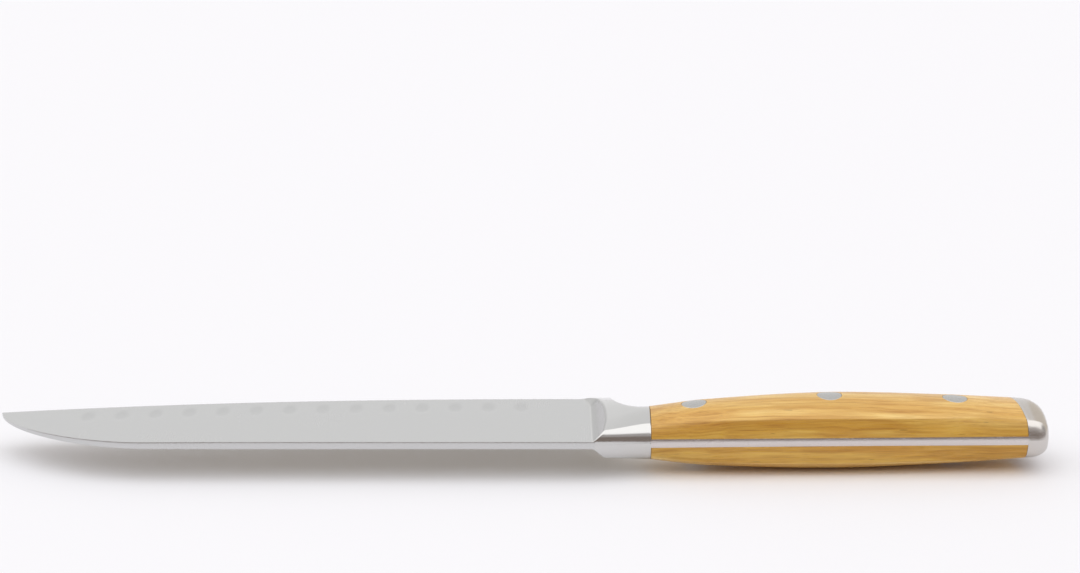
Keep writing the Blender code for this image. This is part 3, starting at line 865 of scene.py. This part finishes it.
@dataclass
class Blade:
    """The blade in front of the bolster, and the tang behind it.

    The blade's mesh runs on into the bolster as far as tucked, drawn in there by tuck.
    """

    form: BladeForm
    grip: GripForm
    steel: bpy.types.Material
    tang_steel: bpy.types.Material
    tang_thickness: float = 0.0026
    tang_leans: Span = (0.045, 0.115)
    tang_recess: float = 0.00004
    tang_rows: int = 8
    tang_flat_rows: int = 4
    tang_columns: int = 120
    tucked: float = 0.0004
    tuck: float = 0.00015
    columns: int = 420
    tip_columns: int = 60
    strip_rows: int = 8
    rows: int = 92
    bevel_rows: int = 3
    sharp: float = math.radians(6)

    def places(self) -> list[float]:
        """List the places of the grid's lines across the blade.

        Returns:
            The places, from tip to bolster.
        """
        turns = even_steps(0.0, math.pi / 2, self.tip_columns)
        near_tip = [self.form.spine_drop * (1.0 - math.cos(turn)) - self.form.length
                    for turn in turns]
        rest = even_steps(near_tip[-1], 0.0, self.columns)[1:]
        return near_tip + rest + [self.tucked]

    def face(self, x: float, row: float) -> Vector:
        """Find a point of the blade's upper half.

        Args:
            x: Place along the blade.
            row: -1 in the middle of the spine, 0 at its corner, 1 at the bevel, 2 at the edge.

        Returns:
            The point.
        """
        spine = self.form.spine(x)
        edge = self.form.edge(x)
        shoulder = max(edge - self.form.bevel_height, spine)
        top = self.form.flat_height(x, shoulder)
        share = (edge - shoulder) / self.form.bevel_height
        top = self.form.edge_thickness / 2 + (top - self.form.edge_thickness / 2) * share
        roll = min(self.form.spine_roll, (shoulder - spine) / 2)
        if row < 0.0:
            corner = self.form.flat_height(x, spine + roll) if share >= 1.0 else top
            z = corner * (1.0 + row)
            y = spine + roll * (1.0 + row) ** self.form.spine_roll_power
        elif row <= 1.0:
            y = spine + roll + (shoulder - spine - roll) * row
            z = self.form.flat_height(x, y) - self.form.hollow(x, y) if share >= 1.0 else top
        else:
            y = shoulder + (edge - shoulder) * (row - 1.0)
            z = top + (self.form.edge_thickness / 2 - top) * (row - 1.0)
        if x > 0.0:
            middle = self.form.height / 2
            y = middle + (y - middle) * (1.0 - self.tuck / middle)
            z = z * (1.0 - self.tuck / self.form.spine_thickness)
        return Vector((x, y, z))

    def blade_mesh(self) -> Mesh:
        """Build the blade, whose vertices know how deep in a hollow they lie.

        Returns:
            The blade's mesh.
        """
        rows = even_steps(-1.0, 0.0, self.strip_rows)
        rows += even_steps(0.0, 1.0, self.rows)[1:]
        rows += even_steps(1.0, 2.0, self.bevel_rows)[1:]
        bm = mirrored_whole(self.places(), rows, self.face)
        mark = bm.verts.layers.float.new(HOLLOW_MARK)
        for vert in bm.verts:
            vert[mark] = self.form.hollow(vert.co.x, vert.co.y) / self.form.hollow_depth
        return bm

    def tang_side(self, share: float, spot: float) -> Vector:
        """Find a point of the tang's upper half.

        Args:
            share: 0 at the neck, 1 at the end cap's joint.
            spot: -1 to 1 across the flat side, and up to 2 either way down the rounded edge.

        Returns:
            The point.
        """
        inner = self.tang_thickness / 2
        lean, bend = self.tang_leans
        cut = self.grip.section(share)
        width = (cut.belly - cut.spine).length
        height = inner * min(max(2.0 - abs(spot), 0.0), 1.0)
        fall = lean * height + bend * height * height / inner + self.tang_recess
        reach = math.copysign(min(abs(spot), 1.0), spot) * (1.0 - 2.0 * fall / width)
        point = cut.spine.lerp(cut.belly, (1.0 + reach) / 2)
        point.z = height
        return point

    def tang_mesh(self) -> Mesh:
        """Build the tang, whose rounded edge shows flush between the scales.

        Returns:
            The tang's mesh.
        """
        side = even_steps(1.0, 2.0, self.tang_rows)[1:]
        flat = even_steps(-1.0, 1.0, self.tang_flat_rows)
        spots = [-spot for spot in reversed(side)] + flat + side
        return mirrored_whole(even_steps(0.0, 1.0, self.tang_columns), spots, self.tang_side)

    def build(self, shop: Workshop) -> None:
        """Build both pieces."""
        shop.piece("blade_with_hollows", self.blade_mesh(), self.steel, ["blade"],
                   sharp=self.sharp)
        shop.piece("tang", self.tang_mesh(), self.tang_steel, ["blade"])


@dataclass
class Bolster:
    """The two cheeks of the bolster, welded along the middle plane and polished as one.

    Values for the front and for the neck, where the wood starts, change smoothly into one
    another along the bolster.
    """

    blade: BladeForm
    grip: GripForm
    steel: bpy.types.Material
    length: float = 0.0167
    thicknesses: Span = (0.0094, 0.0148)
    front_lean: float = 0.055
    side_bends: Span = (0.152, 0.310)
    side_flats: Span = (0.0011, 0.0006)
    front_crown_drop: float = 0.133
    front_blend: float = 0.05
    neck_depth: float = 0.0228
    neck_inset: float = 0.0018
    ramp_angle: float = math.radians(48)
    foot_rounding: float = 0.0009
    guard_length: float = 0.0055
    heel_thickness: float = 0.0012
    thinning_power: float = 2.5
    guard_rounding: float = 0.0060
    guard_power: float = 2.8
    finger_curve: float = 0.0095
    heel_flare: float = 0.0020
    heel_flare_depth: float = 0.0100
    ridge_rounding: float = 0.00050
    rim_easing: float = 0.00022
    rim_share: float = 0.6
    fine_columns: int = 80
    finger_columns: int = 60
    neck_columns: int = 8
    rim_columns: int = 3
    sharp: float = math.radians(50)

    def spine(self, x: float) -> float:
        """Return the depth of the spine side, level with the blade's spine at the front."""
        return self.neck_inset * ease(x / self.length)

    def belly(self, x: float) -> float:
        """Find the depth of the belly side: the guard's straight edge, then the finger curve.

        Args:
            x: Place behind the bolster's front face.

        Returns:
            The depth there.
        """
        neck = self.neck_inset + self.neck_depth
        run = (x - self.guard_length) / self.finger_curve
        if run <= 0.0:
            return self.blade.height
        run = min(run, 1.0)
        return self.blade.height - (self.blade.height - neck) * math.sqrt(run * (2.0 - run))

    def spine_side(self, spot: float, along: float, half: float) -> float:
        """Find the spine side's unit height.

        Args:
            spot: 0 on the crown, 1 at the spine.
            along: 0 at the front, 1 at the neck.
            half: Half of the thickness there.

        Returns:
            The height in half thicknesses.
        """
        neck = self.grip.section(0.0)
        part = replace(
            neck, lean=between(self.front_lean, neck.lean, along),
            bend=between(*self.side_bends, along),
            crown_drop=between(self.front_crown_drop, neck.crown_drop, along),
            blend=between(self.front_blend, neck.blend, along),
            flat=between(*self.side_flats, along) / half)
        return part.unit_height(spot)

    def guard_side(self, spot: float, along: float) -> float:
        """Return the guard side's unit height, part of the way from the front to the neck."""
        neck = self.grip.section(0.0).unit_height(spot)
        return between(squared_ellipse(spot, self.guard_power), neck, along)

    def body_height(self, x: float, y: float) -> float:
        """Find the height of the bolster's outside, its ramp left aside.

        Args:
            x: Place behind the bolster's front face.
            y: Depth below the spine line.

        Returns:
            The height over the middle plane.
        """
        along = ease(x / self.length)
        spine = self.spine(x)
        belly = self.belly(x)
        crown = spine + self.neck_depth / 2
        half = between(*self.thicknesses, along) / 2
        if y <= crown:
            return half * self.spine_side((crown - y) / (crown - spine), along, half)
        rounding = between(self.guard_rounding, self.neck_depth / 2, along)
        rounding = min(rounding, belly - crown)
        thinning = ((y - crown) / (self.blade.height - crown)) ** self.thinning_power
        half = half - (half - self.heel_thickness / 2) * thinning
        return half * self.guard_side(max(y - belly + rounding, 0.0) / rounding, along)

    def flare(self, y: float) -> float:
        """Return how far the ramp's foot runs forward, which it does only near the heel."""
        return self.heel_flare * ease((y - self.blade.height) / self.heel_flare_depth + 1.0)

    def surface(self, x: float, spot: float) -> Vector:
        """Find a point of the upper cheek.

        Args:
            x: Place behind the front face, before the flare moves it forward.
            spot: -1 at the spine, 0 on the crown, 1 at the belly.

        Returns:
            The point.
        """
        crown = self.spine(x) + self.neck_depth / 2
        reach = crown - self.spine(x) if spot < 0.0 else self.belly(x) - crown
        y = crown + spot * reach
        body = self.body_height(x, y)
        forward = self.flare(y) * min(max(1.0 - x / self.guard_length, 0.0), 1.0)
        run = x + self.foot_rounding + self.flare(y) - forward
        rise = math.hypot(run, self.foot_rounding) - self.foot_rounding
        foot = self.blade.flat_height(0.0, y)
        ramp = foot + rise * math.tan(self.ramp_angle)
        height = soft_minimum(body, ramp, self.ridge_rounding) if body > foot else body
        rim = ease((x - self.length) / self.rim_easing + 1.0) * self.rim_easing * self.rim_share
        scale = max(1.0 - rim / max(height, self.rim_easing), 0.0)
        return Vector((x - forward, y, height * scale))

    def places(self) -> list[float]:
        """List the places of the grid's lines.

        Returns:
            The places, from the ramp's foot to the wood.
        """
        front = even_steps(-self.foot_rounding, self.guard_length, self.fine_columns)
        turns = even_steps(0.0, math.pi / 2, self.finger_columns)[1:]
        finger = [self.guard_length + self.finger_curve * (1.0 - math.cos(turn)) for turn in turns]
        rim_start = self.length - self.rim_easing
        neck = even_steps(finger[-1], rim_start, self.neck_columns)[1:]
        rim = even_steps(rim_start, self.length, self.rim_columns)[1:]
        return front + finger + neck + rim

    def build(self, shop: Workshop) -> None:
        """Build both cheeks.

        Args:
            shop: Takes the pieces.
        """
        spots = self.grip.section_spots()
        for side in Side:
            name = f"front_bolster_{side.name.lower()}"
            bm = closed_half(self.places(), spots, self.surface, 0.0)
            shop.piece(f"{name}_polished", bm, self.steel, [name], side,
                       self.sharp)


@dataclass(frozen=True)
class ButtRounding:
    """A rounding towards the butt: its depth, its reach before the butt, and how abrupt it is."""

    depth: float
    length: float
    power: float

    def inset(self, left: float) -> float:
        """Return how far a side has drawn in at a distance before the butt."""
        run = min(max(1.0 - left / self.length, 0.0), 1.0)
        return self.depth * (1.0 - squared_ellipse(run, self.power))


@dataclass
class EndCap:
    """The rounded steel butt."""

    grip: GripForm
    steel: bpy.types.Material
    thickness_rounding: ButtRounding = ButtRounding(0.0038, 0.0060, 2.0)
    spine_rounding: ButtRounding = ButtRounding(0.0030, 0.0040, 1.8)
    belly_rounding: ButtRounding = ButtRounding(0.0080, 0.0070, 2.2)
    joint_easing: float = 0.00012
    easing_run: float = 0.06
    slope_step: float = 1.0 / 16
    columns: int = 44
    sharp: float = math.radians(50)

    def surface(self, share: float, spot: float) -> Vector:
        """Find a point of the upper half, whose thickness runs on from the wood's.

        Args:
            share: 0 at the joint, 1 at the butt.
            spot: -1 at the spine, 1 at the belly.

        Returns:
            The point.
        """
        joint = self.grip.section(1.0)
        slope = (joint.half - self.grip.section(1.0 - self.slope_step).half) / self.slope_step
        slope /= self.grip.cap_joint - self.grip.neck
        butt = self.grip.length
        easing = self.joint_easing * max(1.0 - share / self.easing_run, 0.0)
        spine = joint.spine.copy()
        belly = joint.belly.copy()
        spine.x += (butt - joint.spine.x) * share
        belly.x += (butt - joint.belly.x) * share
        middle_x = (spine.x + belly.x) / 2
        half = joint.half + slope * (middle_x - (joint.spine.x + joint.belly.x) / 2) - easing
        half -= self.thickness_rounding.inset(butt - middle_x)
        spine.y += self.spine_rounding.inset(butt - spine.x) + easing
        belly.y -= self.belly_rounding.inset(butt - belly.x) + easing
        return replace(joint, spine=spine, belly=belly, half=half).point(spot)

    def build(self, shop: Workshop) -> None:
        """Build the cap.

        Args:
            shop: Takes the piece.
        """
        shares = [math.sin(turn) for turn in even_steps(0.0, math.pi / 2, self.columns)]
        bm = mirrored_whole(shares, self.grip.section_spots(), self.surface)
        shop.piece("end_cap_polished", bm, self.steel, ["end_cap"],
                   sharp=self.sharp)


@dataclass(frozen=True)
class RivetRow:
    """The three rivets: name, place, and distance from the grip's middle towards the spine."""

    grip: GripForm
    places: tuple[tuple[str, float, float], ...] = (
        ("front", 0.0298, 0.00025), ("middle", 0.0703, 0.00050), ("rear", 0.1080, 0.00045))

    def centres(self) -> Iterable[tuple[str, float, float]]:
        """Yield each rivet's name and the place and depth of its axis."""
        for name, x, shift in self.places:
            yield name, x, self.grip.spine(x) + self.grip.depth(x) / 2 - shift


@dataclass
class Scales:
    """The two bamboo scales, bored for the rivets."""

    grip: GripForm
    bamboo: dict[Side, bpy.types.Material]
    rivets: RivetRow
    tang_thickness: float = 0.0026
    bore_diameter: float = 0.00757
    bore_sides: int = 72
    bore_depth: float = 0.0026
    joint_gap: float = 0.00012
    columns: int = 200

    def outside(self, share: float, spot: float) -> Vector:
        """Find a point of the upper scale's outside.

        Args:
            share: 0 at the neck, 1 at the end cap's joint.
            spot: -1 and 1 where the scale meets the tang.

        Returns:
            The point.
        """
        cut = self.grip.section(share)
        point = cut.point(spot * cut.reach(self.tang_thickness / 2))
        point.z = max(point.z, self.tang_thickness / 2)
        return point

    def bores(self) -> Mesh:
        """Build the tool that sinks a seat for each rivet's head.

        Returns:
            The tool's mesh.
        """
        tool = bmesh.new()
        for _, x, y in self.rivets.centres():
            middle = Matrix.Translation((x, y, self.grip.half(x)))
            bmesh.ops.create_cone(tool, cap_ends=True, segments=self.bore_sides,
                                  radius1=self.bore_diameter / 2, radius2=self.bore_diameter / 2,
                                  depth=2.0 * self.bore_depth, matrix=middle)
        return tool

    def build(self, shop: Workshop) -> None:
        """Build both scales.

        Args:
            shop: Takes the pieces.
        """
        inset = self.joint_gap / (self.grip.cap_joint - self.grip.neck)
        shares = even_steps(inset, 1.0 - inset, self.columns)
        spots = self.grip.section_spots()
        for side in Side:
            name = f"handle_scale_{side.name.lower()}"
            bm = closed_half(shares, spots, self.outside, self.tang_thickness / 2)
            item = shop.piece(f"{name}_bamboo", bm, self.bamboo[side], [name], side)
            shop.cut(item, self.bores(), side)


@dataclass
class Rivets:
    """The heads of the three rivets, ground flush with the wood."""

    grip: GripForm
    steel: bpy.types.Material
    row: RivetRow
    head_diameter: float = 0.0075
    head_height: float = 0.0022
    shank_diameter: float = 0.0044
    edge_rounding: float = 0.00012
    sides: int = 96
    rings: int = 8

    def head(self, x: float, y: float) -> Mesh:
        """Build one head with a stub of its shank, its top ground to the grip's outside.

        Args:
            x: Place of the rivet behind the bolster's front face.
            y: Depth of its axis below the spine line.

        Returns:
            The head's mesh.
        """
        outside = self.grip.half(x)
        radius = self.head_diameter / 2
        seat = outside - self.head_height
        bm = bmesh.new()
        profile = [(0.0, 0.0), (self.shank_diameter / 2, 0.0), (self.shank_diameter / 2, seat),
                   (radius, seat), (radius, outside - self.edge_rounding)]
        profile += [((radius - self.edge_rounding) * (self.rings - i) / self.rings, outside)
                    for i in range(self.rings + 1)]
        line = [bm.verts.new((x + distance, y, height)) for distance, height in profile]
        edges = [bm.edges.new(pair) for pair in zip(line, line[1:])]
        bmesh.ops.spin(bm, geom=line + edges, cent=(x, y, 0.0), axis=(0.0, 0.0, 1.0),
                       angle=math.tau, steps=self.sides, use_merge=True)
        bmesh.ops.remove_doubles(bm, verts=bm.verts, dist=WELD)
        for vert in bm.verts:
            if vert.co.z > seat + self.edge_rounding:
                sunk = outside - vert.co.z
                vert.co.z = self.grip.height_at(vert.co.x, vert.co.y) - sunk
        bmesh.ops.recalc_face_normals(bm, faces=bm.faces)
        return bm

    def build(self, shop: Workshop) -> None:
        """Build the six heads.

        Args:
            shop: Takes the pieces.
        """
        halves = {Side.UPPER: "male", Side.LOWER: "female"}
        for name, x, y in self.row.centres():
            for side, half in halves.items():
                node = f"{name}_rivet_{half}"
                shop.piece(f"{node}_head", self.head(x, y), self.steel, [node], side)


@dataclass(frozen=True)
class Studio:
    """Floor, light and camera of the picture.

    One large soft box hangs overhead, slightly on the camera's side. Its edges are given in
    degrees from the camera's horizon over the top, and its ends by how far a direction leans
    along the knife. The room is dark behind the camera and pale beyond the knife.

    The floor glows faintly where it is looked at: painted light that lifts its shadows, most of
    all under the blade, whose shadow comes out paler than the grip's, and that warms the grip's
    shadow. Colour and glow add up to the same white all over the open floor.
    """

    floor_size: float = 12.0
    floor_roughness: float = 0.9
    floor_white: Rgb = (0.974, 0.965, 0.991)
    floor_light: Rgb = (1.140, 1.131, 1.116)
    blade_glow: Rgb = (0.150, 0.130, 0.100)
    grip_glow: Rgb = (0.030, 0.010, 0.0)
    glow_run: Span = (0.034, 0.064)
    camera_location: Triple = (0.0065, -0.8674, 0.2770)
    camera_pitch: float = math.radians(14.46)
    camera_lens: float = 100.0
    sensor_width: float = 36.0
    box_light: Rgb = (1.495, 1.485, 1.475)
    box_edges: Span = (32.5, 107.0)
    box_edge_blur: float = 2.0
    box_end: Span = (0.72, 0.90)
    dark_front: Rgb = (0.27, 0.225, 0.20)
    grey_front: Rgb = (0.50, 0.47, 0.46)
    walls: Rgb = (0.45, 0.44, 0.43)
    front_turns: Triple = (19.0, 24.0, 45.0)
    far_turns: Span = (60.0, 110.0)
    far_wall: Rgb = (0.90, 0.90, 0.90)
    far_corner: Rgb = (0.76, 0.71, 0.64)
    far_corner_run: Span = (0.18, 0.32)

    def floor_paint(self, glow: Rgb) -> tuple[float, ...]:
        """Return the floor's colour that adds up with a glow to the open floor's white."""
        whites = zip(self.floor_white, glow, self.floor_light)
        return (*((white - part) / light for white, part, light in whites), 1.0)

    def build_floor(self) -> None:
        """Lay the pale floor."""
        bm = bmesh.new()
        bmesh.ops.create_grid(bm, x_segments=1, y_segments=1, size=self.floor_size / 2)
        mesh = bpy.data.meshes.new("floor")
        bm.to_mesh(mesh)
        bm.free()
        material, recipe, shader = principled("pale_floor")
        grip_share = recipe.spread(recipe.part(recipe.place(), "X"), self.glow_run)
        recipe.feed(shader.inputs["Base Color"], recipe.mix(
            grip_share, self.floor_paint(self.blade_glow), self.floor_paint(self.grip_glow)))
        recipe.feed(shader.inputs["Emission Color"], recipe.mix(
            grip_share, (*self.blade_glow, 1.0), (*self.grip_glow, 1.0)))
        rays = recipe.tree.nodes.new("ShaderNodeLightPath").outputs
        seen = recipe.math("MAXIMUM", rays["Is Camera Ray"], rays["Is Glossy Ray"])
        seen = recipe.math("MAXIMUM", seen, rays["Is Transmission Ray"])
        recipe.feed(shader.inputs["Emission Strength"], seen)
        shader.inputs["Roughness"].default_value = self.floor_roughness
        shader.inputs["Specular IOR Level"].default_value = 0.0
        mesh.materials.append(material)
        item = bpy.data.objects.new("floor", mesh)
        bpy.context.scene.collection.objects.link(item)
        item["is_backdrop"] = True

    def room(self, recipe: Recipe, turn: Socket, sideways: Socket) -> Socket:
        """Paint the room round the soft box.

        Args:
            recipe: Recipe of the world.
            turn: Degrees from the camera's horizon over the top.
            sideways: How far a direction leans along the knife.

        Returns:
            The room's colour.
        """
        corner = recipe.spread(sideways, self.far_corner_run)
        beyond = recipe.mix(corner, (*self.far_wall, 1.0), (*self.far_corner, 1.0))
        places = [degrees / 180 for degrees in self.front_turns]
        colours = (self.dark_front, self.grey_front, self.walls)
        half_turns = recipe.math("DIVIDE", turn, 180.0)
        front = recipe.ramp(half_turns, list(zip(places, colours)))
        return recipe.mix(recipe.spread(turn, self.far_turns), front, beyond)

    def soft_box(self, recipe: Recipe, turn: Socket, sideways: Socket) -> Socket:
        """Find how much of the soft box stands in a direction.

        Args:
            recipe: Recipe of the world.
            turn: Degrees from the camera's horizon over the top.
            sideways: How far a direction leans along the knife.

        Returns:
            0 beside the box, 1 inside it.
        """
        blur = self.box_edge_blur
        near, far = self.box_edges
        near_edge = recipe.spread(turn, (near - blur, near + blur))
        far_edge = recipe.spread(turn, (far - blur, far + blur), (1.0, 0.0))
        ends = recipe.spread(recipe.math("ABSOLUTE", sideways), self.box_end, (1.0, 0.0))
        return recipe.math("MULTIPLY", recipe.math("MULTIPLY", near_edge, far_edge), ends)

    def build_light(self) -> None:
        """Light the scene with the soft box and the room round it."""
        world = bpy.data.worlds.new("studio")
        bpy.context.scene.world = world
        world.use_nodes = True
        world.node_tree.nodes.clear()
        recipe = Recipe(world.node_tree)
        direction = recipe.node("ShaderNodeTexCoord", {}, "Generated")
        toward_camera = recipe.math("MULTIPLY", recipe.part(direction, "Y"), -1.0)
        radians = recipe.math("ARCTAN2", recipe.part(direction, "Z"), toward_camera)
        turn = recipe.math("DIVIDE", radians, math.radians(1))
        sideways = recipe.part(direction, "X")
        lit = recipe.mix(self.soft_box(recipe, turn, sideways), self.room(recipe, turn, sideways),
                         (*self.box_light, 1.0))
        light = recipe.node("ShaderNodeBackground", {"Color": lit}, "Background")
        recipe.feed(recipe.tree.nodes.new("ShaderNodeOutputWorld").inputs["Surface"], light)

    def build_camera(self) -> None:
        """Set the camera at the picture's own place."""
        data = bpy.data.cameras.new("camera")
        data.lens = self.camera_lens
        data.sensor_width = self.sensor_width
        camera = bpy.data.objects.new("camera", data)
        camera.location = self.camera_location
        camera.rotation_euler = (math.pi / 2 - self.camera_pitch, 0.0, 0.0)
        bpy.context.scene.collection.objects.link(camera)
        bpy.context.scene.camera = camera
        bpy.context.scene.view_settings.view_transform = "Standard"

    def build(self) -> None:
        """Set up the whole studio."""
        self.build_camera()
        self.build_floor()
        self.build_light()


@dataclass(frozen=True)
class Finishes:
    """The knife's materials. Places are given behind the bolster's front face."""

    satin: GroundSteel = GroundSteel(
        "satin_steel", colour=(0.602, 0.602, 0.600), roughness=(0.22, 0.25),
        marks=(5000.0, 90.0, 90.0), mark_depth=0.0000001, tone=0.004, cloud_tone=0.006,
        hollow_painted_shade=0.07)
    tang: GroundSteel = GroundSteel(
        "tang_steel", colour=(0.66, 0.615, 0.60), roughness=(0.18, 0.26),
        marks=(200.0, 3000.0, 3000.0), mark_depth=0.0000005, tone=0.02)
    polished: GroundSteel = GroundSteel(
        "polished_steel", colour=(0.625, 0.620, 0.612), roughness=(0.07, 0.11),
        marks=(300.0, 3500.0, 3500.0), mark_depth=0.0000003, tone=0.015, ramp_painted_shade=0.42)
    brushed: GroundSteel = GroundSteel(
        "brushed_cap_steel", colour=(0.625, 0.595, 0.570), roughness=(0.17, 0.24),
        marks=(250.0, 3500.0, 3500.0), mark_depth=0.0000006, tone=0.02)
    rivet: GroundSteel = GroundSteel(
        "rivet_ground_steel", colour=(0.520, 0.515, 0.500), roughness=(0.22, 0.32),
        marks=(160.0, 5000.0, 5000.0), mark_depth=0.000001, tone=0.04)
    wander_run: Span = (0.0247, 0.0527)
    rear_run: Span = (0.098, 0.120)
    # Painted light: the lower scale, which faces the bright floor, is painted lighter as a whole.
    lower_painted_lift: float = 1.10
    lower_shift: Triple = (0.0, 0.031, 0.0)

    def bamboo(self, origin: Vector) -> dict[Side, bpy.types.Material]:
        """Make the bamboo of both scales.

        Args:
            origin: Where knife coordinates start in the frame.

        Returns:
            Each side's material.
        """
        upper = Bamboo("oiled_bamboo_upper",
                       wander_run=tuple(origin.x + place for place in self.wander_run),
                       rear_run=tuple(origin.x + place for place in self.rear_run))
        lower = replace(upper, name="oiled_bamboo_lower", painted_lift=self.lower_painted_lift,
                        shift=self.lower_shift)
        return {Side.UPPER: upper.build(), Side.LOWER: lower.build()}


def write_sizes() -> None:
    """Gather the CAD model's box and the visual model's box as plain lists, without writing them.
    """
    boxes = {"cad": CAD_BOX, "visual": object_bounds()}
    plain = {name: [list(low), list(high)] for name, (low, high) in boxes.items()}


def main() -> None:
    """Build the knife and its studio."""
    logging.basicConfig(level=logging.INFO, format="%(message)s")
    form = BladeForm()
    grip = GripForm()
    finishes = Finishes()
    origin = knife_origin(form)
    shop = Workshop(origin)
    rivets = RivetRow(grip)
    Studio().build()
    Blade(form, grip, finishes.satin.build(), finishes.tang.build()).build(shop)
    Bolster(form, grip, finishes.polished.build()).build(shop)
    EndCap(grip, finishes.brushed.build()).build(shop)
    Scales(grip, finishes.bamboo(origin), rivets).build(shop)
    Rivets(grip, finishes.rivet.build(), rivets).build(shop)
    write_sizes()


if __name__ == "__main__":
    main()
